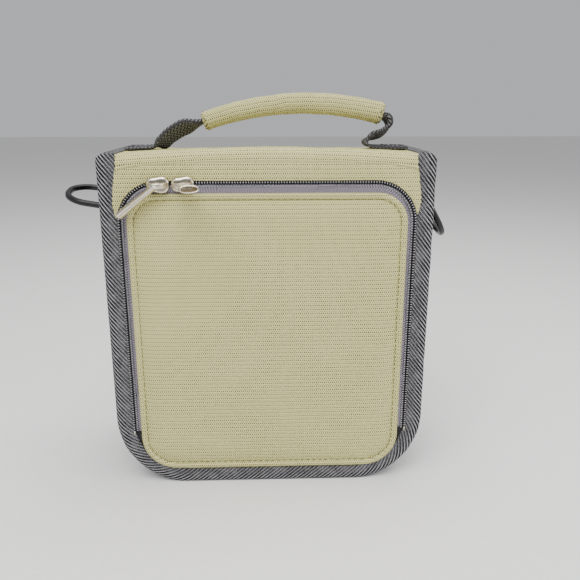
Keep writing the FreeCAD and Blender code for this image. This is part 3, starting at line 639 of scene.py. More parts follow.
def bead_tree():
    """Beads set at a pitch along a line, turned to face one way."""
    tree = bpy.data.node_groups.new("bead_row", "GeometryNodeTree")
    names = {}
    for name, kind in (("Line", "Geometry"), ("Pitch", "Float"), ("Size", "Vector"),
                       ("Facing", "Vector"), ("Slant", "Float"), ("Uneven", "Float"),
                       ("Seed", "Int"), ("Finish", "Material")):
        socket = tree.interface.new_socket(name=name, in_out="INPUT",
                                           socket_type="NodeSocket" + kind)
        names[name] = socket.identifier
    tree.interface.new_socket(name="Beads", in_out="OUTPUT", socket_type="NodeSocketGeometry")

    def add(kind, settings=None, inputs=None):
        node = tree.nodes.new(kind)
        for key, value in (settings or {}).items():
            setattr(node, key, value)
        for key, value in (inputs or {}).items():
            if isinstance(value, bpy.types.NodeSocket):
                tree.links.new(value, node.inputs[key])
            else:
                node.inputs[key].default_value = value
        return node

    given = add("NodeGroupInput").outputs
    curve = add("GeometryNodeMeshToCurve", None, {0: given["Line"]})
    spots = add("GeometryNodeCurveToPoints", {"mode": "LENGTH"},
                {"Curve": curve.outputs[0], "Length": given["Pitch"]})
    ahead = add("FunctionNodeAlignRotationToVector", {"axis": "X"},
                {"Vector": spots.outputs["Tangent"]})
    faced = add("FunctionNodeAlignRotationToVector", {"axis": "Z", "pivot_axis": "X"},
                {"Rotation": ahead.outputs[0], "Vector": given["Facing"]})
    chance = add("FunctionNodeRandomValue", {"data_type": "FLOAT"},
                 {"Min": -1.0, "Max": 1.0, "Seed": given["Seed"]})
    jitter = add("ShaderNodeMath", {"operation": "MULTIPLY"},
                 {0: chance.outputs["Value"], 1: given["Uneven"]})
    angle = add("ShaderNodeMath", {"operation": "ADD"},
                {0: jitter.outputs[0], 1: given["Slant"]})
    turn = add("FunctionNodeAxisAngleToRotation", None,
               {"Axis": (0, 0, 1), "Angle": angle.outputs[0]})
    turned = add("FunctionNodeRotateRotation", {"rotation_space": "LOCAL"},
                 {"Rotation": faced.outputs[0], "Rotate By": turn.outputs[0]})
    bead = add("GeometryNodeMeshUVSphere", None, {"Segments": 8, "Rings": 5, "Radius": 0.5})
    shaped = add("GeometryNodeTransform", None,
                 {"Geometry": bead.outputs["Mesh"], "Scale": given["Size"]})
    smooth = add("GeometryNodeSetShadeSmooth", None, {0: shaped.outputs[0]})
    placed = add("GeometryNodeInstanceOnPoints", None,
                 {"Points": spots.outputs["Points"], "Instance": smooth.outputs[0],
                  "Rotation": turned.outputs[0]})
    real = add("GeometryNodeRealizeInstances", None, {0: placed.outputs[0]})
    coloured = add("GeometryNodeSetMaterial", None,
                   {"Geometry": real.outputs[0], "Material": given["Finish"]})
    add("NodeGroupOutput", None, {"Beads": coloured.outputs[0]})
    return tree, names


BEADS, BEAD_INPUTS = bead_tree()


def bead_row(name, lines, pitch, size, finish, facing=(0, -1, 0), slant=0.0, uneven=0.0, seed=1):
    """One object with beads along each of the lines, all in millimetres."""
    points = []
    edges = []
    for line in lines:
        edges += [(len(points) + i, len(points) + i + 1) for i in range(len(line) - 1)]
        points += [Vector(p) * MM for p in line]
    mesh = bpy.data.meshes.new(name)
    mesh.from_pydata(points, edges, [])
    thing = bpy.data.objects.new(name, mesh)
    bpy.context.scene.collection.objects.link(thing)
    row = thing.modifiers.new("row", "NODES")
    row.node_group = BEADS
    settings = {"Pitch": pitch * MM, "Size": tuple(s * MM for s in size), "Facing": facing,
                "Slant": slant, "Uneven": uneven, "Seed": seed, "Finish": finish}
    for key, value in settings.items():
        row[BEAD_INPUTS[key]] = value
    return finished(thing)


# ---- the shell ----

def crown_at(x):
    """Height of the bowed top at x."""
    return CROWN - CROWN_RISE * (x / SEAM) ** 2


def top_at(x, y):
    """Height of the canvas top, which sags towards the back between the seams."""
    share = min(max((y - FRONT) / (BACK - FRONT), 0.0), 1.0)
    return crown_at(x) - TOP_SAG * share ** 1.3 * (1 - min(abs(x) / SEAM, 1.0) ** 3)


def canvas_piece():
    """Canvas above the zip, over the fold, along the top and down the back."""
    columns = 150
    under = 2.4
    half = SEAM + under
    rows = []
    across = [-half + 2 * half * i / columns for i in range(columns + 1)]

    def zip_edge(x):
        turn = ZIP_TURN + 1.7
        inner = ZIP_HALF - ZIP_TURN
        if abs(x) <= inner:
            return ZIP_TOP + 1.7
        lean = min(abs(x) - inner, turn - 0.01)
        return ZIP_TOP - ZIP_TURN + math.sqrt(turn ** 2 - lean ** 2)

    def back_edge(x):
        turn = FOOT + under
        lean = max(abs(x) - (SEAM - FOOT), 0.0)
        return BINDING_WIDE + FOOT - math.sqrt(max(turn ** 2 - lean ** 2, 0.0))

    stations = ([("hem", t) for t in (0.0, 1.0)] + [("front", t / 12) for t in range(13)]
                + [("fold", t / 7) for t in range(1, 8)]
                + [("top", t / 22) for t in range(1, 22)]
                + [("turn", t / 7) for t in range(8)]
                + [("rear", t / 60) for t in range(1, 61)])
    for kind, t in stations:
        row = []
        for x in across:
            top = crown_at(x)
            rear = top_at(x, BACK)
            low = zip_edge(x)
            sag = 0.25 * wander((x, 0, 0), 18, 3) + 0.12 * wander((x, 0, 0), 7, 8)
            if kind == "hem":
                y, z = FRONT + 0.75 * (1 - t), low + (0.35 if t < 0.5 else -0.05)
            elif kind == "front":
                z = low + 0.25 + (top - FOLD - low - 0.25) * t
                bulge = 0.35 * math.sin(math.pi * t)
                y = FRONT - 0.1 - bulge + 0.3 * wander((x, 0, z), 14, 1)
            elif kind == "fold":
                angle = t * math.pi / 2
                y = FRONT - 0.1 + FOLD - FOLD * math.cos(angle)
                z = top - FOLD + FOLD * math.sin(angle) + sag * t
            elif kind == "top":
                y = FRONT + FOLD + (BACK - FRONT - 2 * FOLD) * t
                z = top_at(x, y) + sag + 0.5 * math.sin(math.pi * t) * wander((x, y, 0), 26, 5)
            elif kind == "turn":
                angle = t * math.pi / 2
                y = BACK - FOLD + FOLD * math.sin(angle)
                z = rear - FOLD + FOLD * math.cos(angle) + sag * (1 - t)
            else:
                high = rear - FOLD
                foot = back_edge(x)
                z = high + (foot - high) * t
                span = fold_up(min(t, 1 - t) * 6)
                y = BACK + span * (0.7 + 0.5 * wander((x, 0, z), 30, 9)
                                   + 0.25 * wander((x, 0, z), 11, 4))
            row.append((x, y, z))
        rows.append(row)
    middle = len(across) // 2
    hem = rows[0][middle][2]
    lengths = runs([row[middle] for row in rows])
    marks = [(x, z if hem + far < CROWN - FOLD else hem + far)
             for row, far in zip(rows, lengths) for x, _, z in row]
    cloth = outward(grid("canvas_shell", rows, CANVAS, CANVAS_THICK, marks))
    fitted(cloth, "bag", "canvas", "canvas_wrap")


def top_pad_piece():
    """The foam under the canvas top, sunk with it."""
    low, high = reach("foam_top")
    rows = []
    for index in range(21):
        y = low.y + 1.0 + (high.y - low.y - 2.5) * index / 20
        ring = []
        for step in range(41):
            x = low.x + (high.x - low.x) * step / 40
            ring.append((x, y, top_at(x, y) - 1.3))
        ring += [(high.x, y, low.z + 0.1), (low.x, y, low.z + 0.1)]
        rows.append(ring)
    pad = outward(grid("top_pad", rows, FOAM, closed=True, caps=True))
    fitted(pad, "bag", "foam", "foam_top")


def bound_profile(wide_in):
    """Cross-section of the bound edge: outward distance and depth behind the front face."""
    out = BINDING_WIDE + BINDING_PROUD
    return [(-wide_in, 0.55), (-wide_in + 0.1, -0.1), (0.8, -0.45), (2.6, -0.75),
            (4.6, -0.85), (6.4, -0.6), (out - 0.45, 0.15), (out, 1.3), (out, 2.3),
            (out - 0.5, 3.3), (5.6, 3.75), (4.0, 3.7), (2.4, 3.5), (1.3, 3.3), (1.2, 2.5),
            (0.6, 1.6)]


def bound_edge(name, node, face, toward, top):
    """Twill tape folded over the seam, round the two sides and the foot."""
    track = seam_u(0, top)
    lengths = runs([(x, 0, z) for x, z, _, _ in track])
    rows = []
    marks = []
    for index, (x, z, out_x, out_z) in enumerate(track):
        broad = 0.35 + 0.75 * fold_up((z - 140) / 20)
        tip = min(index, len(track) - 1 - index)
        shrink = 1 - 0.5 * fold_up((2.4 - tip) / 2.4)
        uneven = 0.35 * wander((x, 0, z), 9, 2 + face)
        near_top = max(z - (top - SHOULDER_TURN), 0.0)
        shoulder = SHOULDER_TURN - math.sqrt(max(SHOULDER_TURN ** 2 - near_top ** 2, 0.0))
        row = []
        for out, deep in bound_profile(broad):
            out = out + uneven * (0.7 if out > 3 else 0.35)
            out = min(out, BINDING_WIDE + BINDING_PROUD - shoulder)
            y = face + toward * (1.4 + (deep - 1.4) * shrink)
            row.append(Vector((x + out_x * out, y, max(z + out_z * out, 0.0))))
        marks += [(run, lengths[index]) for run in runs(row)]
        rows.append(row)
    edge = outward(grid(name, rows, TWILL, marks=marks, closed=True, caps=True))
    fitted(edge, "bag", "binding", node)

def top_edge(side):
    """Twill tape over the seam between the top and one side."""
    name = "right" if side > 0 else "left"
    rows = []
    marks = []
    steps = 44
    outline = [(0.0, 0.5), (0.2, 1.0), (2.0, 1.35), (4.0, 1.4), (5.8, 1.1), (7.0, 0.3),
               (7.4, -0.8), (7.0, -1.9), (6.0, -2.5), (4.0, -2.6), (2.4, -2.5), (1.4, -2.0),
               (1.2, -1.0), (0.6, -0.2)]
    for index in range(steps + 1):
        t = index / steps
        y = FRONT + 1.2 + (BACK - FRONT - 2.4) * t
        ends = min(t, 1 - t) * (BACK - FRONT)
        droop = 1.6 * (1 - fold_up(ends / 4.5))
        row = []
        for out, up in outline:
            wobble = 0.25 * wander((0, y, out), 8, 6 + side)
            row.append(Vector((side * (SEAM + out * (1 - 0.12 * droop)), y,
                               SHOULDER - 1.2 + up - droop + wobble)))
        marks += [(run, side * y) for run in runs(row)]
        rows.append(row)
    edge = outward(grid("top_edge_" + name, rows, TWILL, marks=marks, closed=True, caps=True))
    fitted(edge, "bag", "binding", "top_binding_" + name)


def gusset_piece():
    """Black cloth of the sides and the foot, with its edges turned out into the bindings."""
    depth = 34
    track = seam_u(GUSSET_HALF - SEAM, SHOULDER - 1.4, 2.2, FOOT)
    rows = []
    for x, z, out_x, out_z in track:
        row = []
        level = fold_up((z - 4) / 20)
        for index in range(depth + 1):
            t = index / depth
            y = FRONT + 1.9 + (BACK - FRONT - 3.8) * t
            edge = min(t, 1 - t) * (BACK - FRONT)
            lip = 4.6 * (1 - fold_up(edge / 1.8))
            bow = level * (0.9 * math.sin(math.pi * t) + 0.5 * wander((x, y, z), 24, 7))
            out = lip + bow
            row.append(Vector((x + out_x * out, y, max(z + out_z * out, 0.02))))
        rows.append(row)
    cloth = outward(grid("side_cloth", rows, BLACK, 0.7))
    fitted(cloth, "bag", "black_cloth", "gusset")


# ---- the door ----

def front_of_door(inset, x, z):
    """How far the door's face stands at a distance from its edge."""
    rim = 1.05 * math.sin(math.pi * inset / DOOR_HEM) ** 0.5 if inset < DOOR_HEM else 0.0
    base = DOOR_HIGH.y - 0.8
    groove = 0.4 * math.exp(-((inset - STITCH_LINE) / 0.6) ** 2)
    swell = 1.95 * (1 - math.exp(-max(inset - 3.2, 0.0) / 3.6))
    crown = 0.25 * fold_up((inset - 4) / 45)
    pucker = 0.0
    if inset > DOOR_HEM:
        pucker = 0.22 * math.exp(-(inset - 3.0) / 4.0) * wander((x, 0, z), 3.2, 11)
        pucker += 0.35 * wander((x, 0, z), 30, 14) * fold_up((inset - 3) / 14)
        pucker += 0.12 * wander((x, 0, z), 8, 12) * fold_up((inset - 3) / 10)
    return base - rim - swell - crown + groove - pucker


RING_STEPS = (0.0, 0.25, 0.6, 1.0, 1.5, 2.0, 2.45, 2.8, 3.1, 3.5, 4.0, 4.8, 5.8, 7.2, 9, 11, 13,
              16, 19.5, 23, 27, 31, 35, 39, 43, 47, 51, 55, 59, 63, 66, 67.4)


def pillow(name, insets, front, rear, finish):
    """A closed form between two faces over the door's outline; each face is a function."""
    count = 420
    points = []
    marks = []
    faces = []
    sides = []
    for face in (front, rear):
        rings = []
        for inset in insets:
            ring = []
            for corner in door_ring(inset, count):
                ring.append(len(points))
                points.append((corner.x, face(inset, corner.x, corner.y), corner.y))
                marks.append((corner.x, corner.y))
            rings.append(ring)
        sides.append(rings)
    for rings in sides:
        for outer, inner in zip(rings, rings[1:]):
            for index in range(count):
                after = (index + 1) % count
                faces.append((outer[index], outer[after], inner[after], inner[index]))
        faces.append(tuple(rings[-1]))
    rim_front, rim_rear = sides[0][0], sides[1][0]
    for index in range(count):
        after = (index + 1) % count
        faces.append((rim_front[index], rim_front[after], rim_rear[after], rim_rear[index]))
    return outward(piece(name, points, faces, finish, marks))


def door_pieces():
    """The canvas face, the foam behind it, the lining and the stitches round the rim."""
    skin = 0.75

    def inside_face(inset, x, z):
        return min(front_of_door(inset, x, z) + skin, DOOR_HIGH.y + 0.05)

    face = pillow("door_face", RING_STEPS, front_of_door, inside_face, CANVAS)
    fitted(face, "door", "canvas", "door_panel")

    foam_high = reach("door_foam")[1]
    edge = DOOR_HIGH.x - foam_high.x

    def foam_front(inset, x, z):
        return front_of_door(inset, x, z) + skin + 0.15

    def foam_rear(inset, x, z):
        return foam_high.y - 0.1

    inner = [edge + s for s in (0.0, 1.0, 2.5, 5, 8, 12, 18, 26, 36, 46, 56, 62.5)]
    pad = pillow("door_pad", inner, foam_front, foam_rear, FOAM)
    fitted(pad, "door", "foam", "door_foam")

    lining_high = reach("door_lining")[1]

    def lined_rear(inset, x, z):
        lift = fold_up((inset - edge) / 6)
        ripple = 0.12 * wander((x, 0, z), 9, 21)
        return lining_high.y - 0.35 + (0.35 + ripple) * lift

    def lined_front(inset, x, z):
        return min(lined_rear(inset, x, z) - 0.45, foam_high.y + 0.02)

    back = pillow("door_back", inner, lined_front, lined_rear, LINING)
    fitted(back, "door", "lining", "door_lining")

    track = [(p.x, front_of_door(STITCH_LINE, p.x, p.y) - 0.05, p.y)
             for p in door_ring(STITCH_LINE, 600)]
    stitches = bead_row("door_stitches", [track], 3.2, (2.3, 0.6, 0.5), OLIVE_THREAD,
                        slant=0.12, uneven=0.06, seed=4)
    fitted(stitches, "door", "thread_olive", "door_topstitch")


def hinge_piece():
    """The canvas strip that the door folds on."""
    low, high = reach("hinge_flap")
    rows = []
    top = DOOR_LOW.z + 1.2
    for index in range(13):
        z = low.z + (top - low.z) * index / 12
        row = []
        for step in range(41):
            x = low.x + (high.x - low.x) * step / 40
            row.append((x, FRONT + 0.35 + 0.15 * wander((x, 0, z), 9, 5), z))
        rows.append(row)
    flap = outward(grid("hinge_strip", rows, CANVAS, 0.6))
    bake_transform(flap)
    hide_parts("hinge_flap")


# ---- the zip ----

def tape_sheet(name, node, near, far, body, lift):
    """One tape of the zip, from its tooth edge to its sewn edge."""
    lines = []
    steps = 7
    for step in range(steps + 1):
        offset = near + (far - near) * step / steps
        lines.append(arch(offset, step=1.8))
    count = min(len(line) for line in lines)
    rows = []
    for index in range(count):
        row = []
        for step, line in enumerate(lines):
            spot = line[round(index / (count - 1) * (len(line) - 1))]
            y = TAPE_FRONT + lift + 0.12 * wander((spot[0], 0, spot[1]), 7, 13)
            row.append((spot[0], y, spot[1]))
        rows.append(row)
    tape = outward(grid(name, rows, TAPE, 0.35))
    fitted(tape, body, "zip_tape", node)


def zip_pieces():
    """Tapes and two rows of teeth that mesh."""
    for part, body, near, far, offset, start, seed in (
            ("frame", "bag", 0.2, 6.6, 0.85, 0.0, 2),
            ("door", "door", -6.4, -0.2, -0.85, TEETH_PITCH / 2, 3)):
        tape_sheet(part + "_tape", "zip_tape_" + part, near, far, body, 0.1)
        track = [(x, TEETH_AT, z) for x, z in arch(offset, step=0.6, start=start)]
        teeth = bead_row(part + "_teeth", [track], TEETH_PITCH, TOOTH, NYLON, slant=0.12,
                         uneven=0.03, seed=seed)
        fitted(teeth, body, "zip_teeth", "zip_coil_" + part)


# ---- sliders and pulls ----

def plate(outline, levels):
    """Points and faces of a closed plate: the outline shrunk and set at each level."""
    count = len(outline)
    points = []
    faces = []
    for shrink, level in levels:
        for x, z in outline:
            far = math.hypot(x, z)
            keep = max(far - shrink, 0.0) / far
            points.append((x * keep, level, z * keep))
    for ring in range(len(levels) - 1):
        for index in range(count):
            after = (index + 1) % count
            faces.append((ring * count + index, ring * count + after,
                          (ring + 1) * count + after, (ring + 1) * count + index))
    faces.append(tuple(range(count - 1, -1, -1)))
    faces.append(tuple(range((len(levels) - 1) * count, len(levels) * count)))
    return points, faces


def slider_outline(long, tall, taper):
    """A slider's plan: broad shoulders, a waist and a narrower tail."""
    outline = []
    for step in range(48):
        angle = TAU * step / 48
        c, s = math.cos(angle), math.sin(angle)
        x = long * math.copysign(abs(c) ** 0.75, c)
        half = tall - taper * (1 - x / long) / 2 - 0.35 * math.exp(-((x + 1) / 1.7) ** 2)
        outline.append((x, half * math.copysign(abs(s) ** 0.75, s)))
    return outline


def slider_pieces(side):
    """The domed front plate, the post and rear plate behind it, and the arched bridge."""
    node = "slider_%s_body" % side
    low, high = reach(node)
    bridge_low, bridge_high = reach("slider_%s_bridge" % side)
    centre = (low + high) / 2
    long, tall = (high.x - low.x) / 2, (high.z - low.z) / 2
    face, under = low.y, bridge_high.y + 1.1
    parts = [plate(slider_outline(long, tall, 1.1),
                   [(0.5, under), (0.1, under - 0.15), (0.0, under - 0.6), (0.25, face - 0.1),
                    (0.9, face - 0.4), (2.2, face - 0.6)]),
             plate([(0.8 * math.cos(TAU * i / 12), 0.45 * math.sin(TAU * i / 12))
                    for i in range(12)], [(0, under), (0, high.y - 0.5)]),
             plate([(x, z - 1.6) for x, z in slider_outline(long - 1.6, 2.4, 0.5)],
                   [(0.2, high.y - 1.0), (0.0, high.y - 0.8), (0.0, high.y - 0.2),
                    (0.2, high.y)])]
    points = []
    faces = []
    for part_points, part_faces in parts:
        faces += [tuple(len(points) + i for i in f) for f in part_faces]
        points += [(x + centre.x, y, z + centre.z) for x, y, z in part_points]
    body = outward(piece(node.replace("_body", "_plate"), points, faces, NICKEL))
    # The plate's domed middle, under the bridge, takes the darker nickel: painted shade.
    body.data.materials.append(NICKEL_PAINTED_SHADE)
    for polygon in body.data.polygons:
        if polygon.center.y < (face - 0.45) * MM:
            polygon.material_index = 1
    fitted(body, "slider_" + side, "nickel", node)
    crown = bridge_low.y + 0.45
    half = (bridge_high.x - bridge_low.x) / 2 + 0.5
    x, z = centre.x, centre.z
    path = smooth_path([(x - half - 0.2, face + 0.1, z), (x - half, face - 2.0, z),
                        (x - half + 1.3, crown + 0.9, z), (x - half + 3.0, crown, z),
                        (x + half - 3.0, crown, z), (x + half - 1.3, crown + 0.9, z),
                        (x + half, face - 2.0, z), (x + half + 0.2, face + 0.1, z)], 48)

    def splay(t):
        return (1.0 + 0.35 * abs(2 * t - 1) ** 3, 1.0)

    arch_band = sweep("bridge_" + side, path, rounded(2.5, 0.95, 0.4), NICKEL, splay,
                      Vector((0, 0, 1)))
    fitted(arch_band, "slider_" + side, "nickel", "slider_%s_bridge" % side)


def pull_piece(side, start, ahead, across, broad):
    """A strip folded on itself: an eye, two bowed leaves and an open lens at the tip."""
    long = PULL_LONG
    up = across.cross(ahead).normalized()
    around = 36
    stations = [(0.0, 0.0, 0.35), (0.0, 0.25, 0.7), (0.0, 0.9, 0.92)]
    stations += [(0.0, far, 1.0) for far in (1.6, 2.4, 3.4, 5, 7, 9, 11, 13, 15, 17, 19, 21,
                                             22.5, 23.4)]
    stations += [(0.15, long, 1.0), (0.6, long + 0.05, 1.0), (0.85, long - 0.2, 1.0),
                 (0.95, long - 2.0, 0.97), (1.0, long - 6.0, 0.85)]
    rows = []
    for wall, far, keep in stations:
        share = far / long
        half = (2.55 + (broad - 2.55) * fold_up((share - 0.05) / 0.85)) * keep
        thick = (1.4 + 0.45 * fold_up((share - 0.25) / 0.75)) * keep
        half -= 0.85 * wall
        thick -= 0.75 * wall
        row = []
        for step in range(around):
            angle = TAU * step / around
            c, s = math.cos(angle), math.sin(angle)
            notch = 0.42 * math.exp(-(s / 0.16) ** 2) * (1 - wall) * keep
            a = math.copysign(abs(c) ** 0.9, c) * half - math.copysign(notch, c)
            b = math.copysign(abs(s) ** 0.85, s) * thick
            row.append(start + ahead * far + across * a + up * b)
        rows.append(row)
    strip = outward(grid("pull_tab_" + side, rows, NICKEL, closed=True, caps=True))
    fitted(strip, "pull_" + side, "nickel", "pull_" + side)


def pull_pieces():
    """Each pull on its bridge: the left one laid down to the side, the right one standing out."""
    for side in ("left", "right"):
        slider_pieces(side)
    low, high = reach("pull_left")
    dip = math.radians(37.5)
    ahead = Vector((-math.cos(dip), 0, -math.sin(dip)))
    start = Vector((high.x - 1.4, (low.y + high.y) / 2, high.z - 4.2))
    pull_piece("left", start, ahead, Vector((0, 1, 0)), 3.1)
    low, high = reach("pull_right")
    start = Vector(((low.x + high.x) / 2, high.y - 0.1, (low.z + high.z) / 2))
    lean = Vector((0.27, -1, 0.05)).normalized()
    across = Vector((1, 0.27, 0)).normalized()
    pull_piece("right", start, lean, across, 4.4)


# ---- handle ----

def handle_points():
    """The grip's line from its left end to its right, from the CAD cover's box."""
    low, high = reach("grip_cover")
    slope = GRIP_SLOPE
    bend = (GRIP_LONG ** 2 / 4 + GRIP_BOW ** 2) / (2 * GRIP_BOW)
    sweep_angle = math.asin(GRIP_LONG / 2 / bend)
    centre_x = (low.x + high.x) / 2 - 0.1
    apex = high.z - 5.5
    points = []
    for step in range(61):
        angle = -sweep_angle + 2 * sweep_angle * step / 60
        x = bend * math.sin(angle)
        z = bend * math.cos(angle) - bend
        points.append(Vector((centre_x + x * math.cos(slope) - z * math.sin(slope), 0,
                              apex + z * math.cos(slope) + x * math.sin(slope))))
    return points


def grip_section(line, index):
    """Share of the way, up direction, half height and half depth of the grip at a point."""
    t = index / (len(line) - 1)
    before = line[max(index - 1, 0)]
    after = line[min(index + 1, len(line) - 1)]
    ahead = (after - before).normalized()
    return t, Vector((-ahead.z, 0, ahead.x)), 4.65 + 0.95 * t, 6.0 + 0.3 * t


def grip_pieces(line):
    """Rolled canvas with its overlapping edge on top and turned ends, and its stuffing."""
    around = 40
    rows = []
    marks = []
    for index, (point, far) in enumerate(zip(line, runs(line))):
        t, up, tall, deep = grip_section(line, index)
        from_end = min(t, 1 - t) * 93
        flare = 0.28 * (1 - fold_up(abs(from_end - 1.2) / 1.6))
        pinch = 0.75 * (1 - fold_up(from_end / 0.9))
        row = []
        for step in range(around):
            angle = TAU * step / around
            c, s = math.cos(angle), math.sin(angle)
            edge = (angle - math.radians(118)) % TAU
            flap = 0.55 * math.exp(-((edge - 0.28) / 0.3) ** 2) if edge < 1.4 else 0.0
            crease = -0.45 * math.exp(-(min(edge, TAU - edge) / 0.09) ** 2)
            loose = 0.25 * wander((point.x, c * 6, s * 6), 9, 17)
            grow = flap + crease + loose + flare - pinch
            a = (deep + grow) * abs(c) ** 0.9 * math.copysign(1, c)
            b = (tall + grow) * abs(s) ** 0.9 * math.copysign(1, s)
            row.append(point + Vector((0, 1, 0)) * a + up * b)
        marks += [(far, run) for run in runs(row)]
        rows.append(row)
    cover = outward(grid("grip_roll", rows, GRIP_CANVAS, marks=marks, closed=True))
    walled(cover, 0.9)
    fitted(cover, "handle", "canvas", "grip_cover")
    core = sweep("grip_stuffing", line[1:-1], rounded(9.6, 6.6, 2.9), FOAM)
    fitted(core, "handle", "foam", "grip_core")


def end_stitches(line):
    """Short black stitches through the grip's two ends."""
    proud = 0.35
    rows = []
    for index in (1, len(line) - 2):
        _, up, tall, deep = grip_section(line, index)
        ring = []
        for step in range(33):
            angle = math.radians(100) + math.radians(150) * step / 32
            ring.append(line[index] + Vector((0, 1, 0)) * (deep + proud) * math.cos(angle)
                        + up * (tall + proud) * math.sin(angle))
        rows.append(ring)
    stitches = bead_row("grip_stitches", rows, 2.4, (1.3, 0.5, 0.45), BLACK_THREAD, uneven=0.3,
                        seed=6)
    fitted(stitches, "handle", "thread_black", "grip_stitching")


def strap_outline(wide, thick):
    """Cross-section of flat webbing with soft edges."""
    half = wide / 2
    return [(-half, 0.0), (-half + 0.4, thick * 0.42), (-half + 1.4, thick / 2),
            (0.0, thick * 0.46), (half - 1.4, thick / 2), (half - 0.4, thick * 0.42),
            (half, 0.0), (half - 0.4, -thick * 0.42), (half - 1.4, -thick / 2),
            (0.0, -thick * 0.42), (-half + 1.4, -thick / 2), (-half + 0.4, -thick * 0.42)]


def riser(side, line):
    """Webbing from the side binding over the top and up into the grip."""
    end = line[0] if side < 0 else line[-1]
    inner = line[4] if side < 0 else line[-5]
    if side < 0:
        knots = [(-72.0, 0, top_at(72, 0) + 1.1), (-65.0, 0, top_at(65, 0) + 1.15),
                 (-59.0, 0, top_at(59, 0) + 1.3), (-54.8, 0, top_at(54, 0) + 2.8),
                 (-50.2, 0, TILT_AT), (-43.6, 0, end.z - 3.0), (end.x - 2.6, 0, end.z - 0.4),
                 tuple(inner)]
    else:
        knots = [(72.0, 0, top_at(72, 0) + 1.1), (63.0, 0, top_at(63, 0) + 1.15),
                 (54.0, 0, top_at(54, 0) + 1.3), (50.9, 0, top_at(51, 0) + 3.2),
                 (54.0, 0, TILT_AT - 0.6), (59.4, 0, TILT_AT + 1.2),
                 (62.9, 0, TILT_AT + 5.0), (61.8, 0, TILT_AT + 9.0),
                 (end.x - 1.5, 0, end.z - 0.3), tuple(inner)]
    path = smooth_path(knots, 96)

    def width(t):
        lift = fold_up((t - 0.28) / 0.2)
        narrow = fold_up((t - 0.72) / 0.2)
        return (1.0 - 0.2 * lift - 0.28 * narrow, 1.0 + 0.5 * lift)

    def lean(t):
        """The front edge rides up as the webbing leaves the top."""
        angle = math.radians(34) * fold_up((t - 0.3) / 0.18) * (1 - fold_up((t - 0.74) / 0.18))
        angle *= 1 if side < 0 else 0.5
        return Vector((0, math.cos(angle), -math.sin(angle)))

    name = "left" if side < 0 else "right"
    strap = sweep("strap_" + name, path, strap_outline(STRAP_WIDE, STRAP_THICK), WEBBING, width,
                  lean)
    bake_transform(strap)
    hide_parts("handle_anchor_" + name, "handle_webbing")


def anchor_stitch_piece():
    """Box stitches that hold the webbing to the top."""
    lines = []
    for side in (-1, 1):
        for y in (-6.4, 6.4):
            lines.append([(side * x, y, top_at(x, 0) + 2.1) for x in (70.5, 66, 61)])
        for x in (70.5, 61):
            lines.append([(side * x, y, top_at(x, 0) + 2.1) for y in (-6.4, 0, 6.4)])
    stitches = bead_row("anchor_stitches", lines, 2.0, (1.5, 0.5, 0.4), BLACK_THREAD,
                        facing=(0, 0, 1), uneven=0.15, seed=9)
    fitted(stitches, "bag", "thread_black", "anchor_stitching")


# ---- rings and their tabs ----

def ring_tab(side):
    """A short loop of webbing round the ring's bar; returns the lines it is sewn along."""
    name = "right" if side > 0 else "left"
    low, high = reach("ring_tab_" + name)
    middle = (low.z + high.z) / 2
    rows = []
    count = 36
    bar = (high.x if side > 0 else -low.x) - 3.7
    track = []
    for index in range(count + 1):
        t = index / count
        if t < 0.32:
            track.append((GUSSET_HALF + 0.9 + 3.6 * fold_up(t / 0.32), -9.0 + 6.5 * t / 0.32))
        elif t < 0.68:
            angle = (t - 0.32) / 0.36 * math.pi - math.pi / 2
            track.append((bar + 3.1 * math.cos(angle), 2.6 * math.sin(angle)))
        else:
            back = (t - 0.68) / 0.32
            track.append((GUSSET_HALF + 0.9 + 3.6 * fold_up(1 - back), 2.5 + 6.5 * back))
    for out, up in track:
        row = []
        for step in range(9):
            y = -STRAP_WIDE / 2 + STRAP_WIDE * step / 8
            row.append((side * out, y, middle + up))
        rows.append(row)
    tab = outward(grid("tab_" + name, rows, WEBBING, 1.0))
    fitted(tab, "bag", "webbing", "ring_tab_" + name)
    return [[(side * (GUSSET_HALF + 1.6), y, z) for y in (-6, 0, 6)]
            for z in (middle - 7.2, middle + 7.2)]


def side_pieces():
    """Both ring tabs with their bar tacks."""
    lines = {-1: ring_tab(-1), 1: ring_tab(1)}
    for side, name, seed in ((-1, "left", 12), (1, "right", 13)):
        tack = bead_row("tab_tacks_" + name, lines[side], 1.1, (1.0, 0.9, 0.5), BLACK_THREAD,
                        facing=(side, 0, 0), seed=seed)
        fitted(tack, "bag", "thread_black", "tab_bartacks")


# ---- inside ----

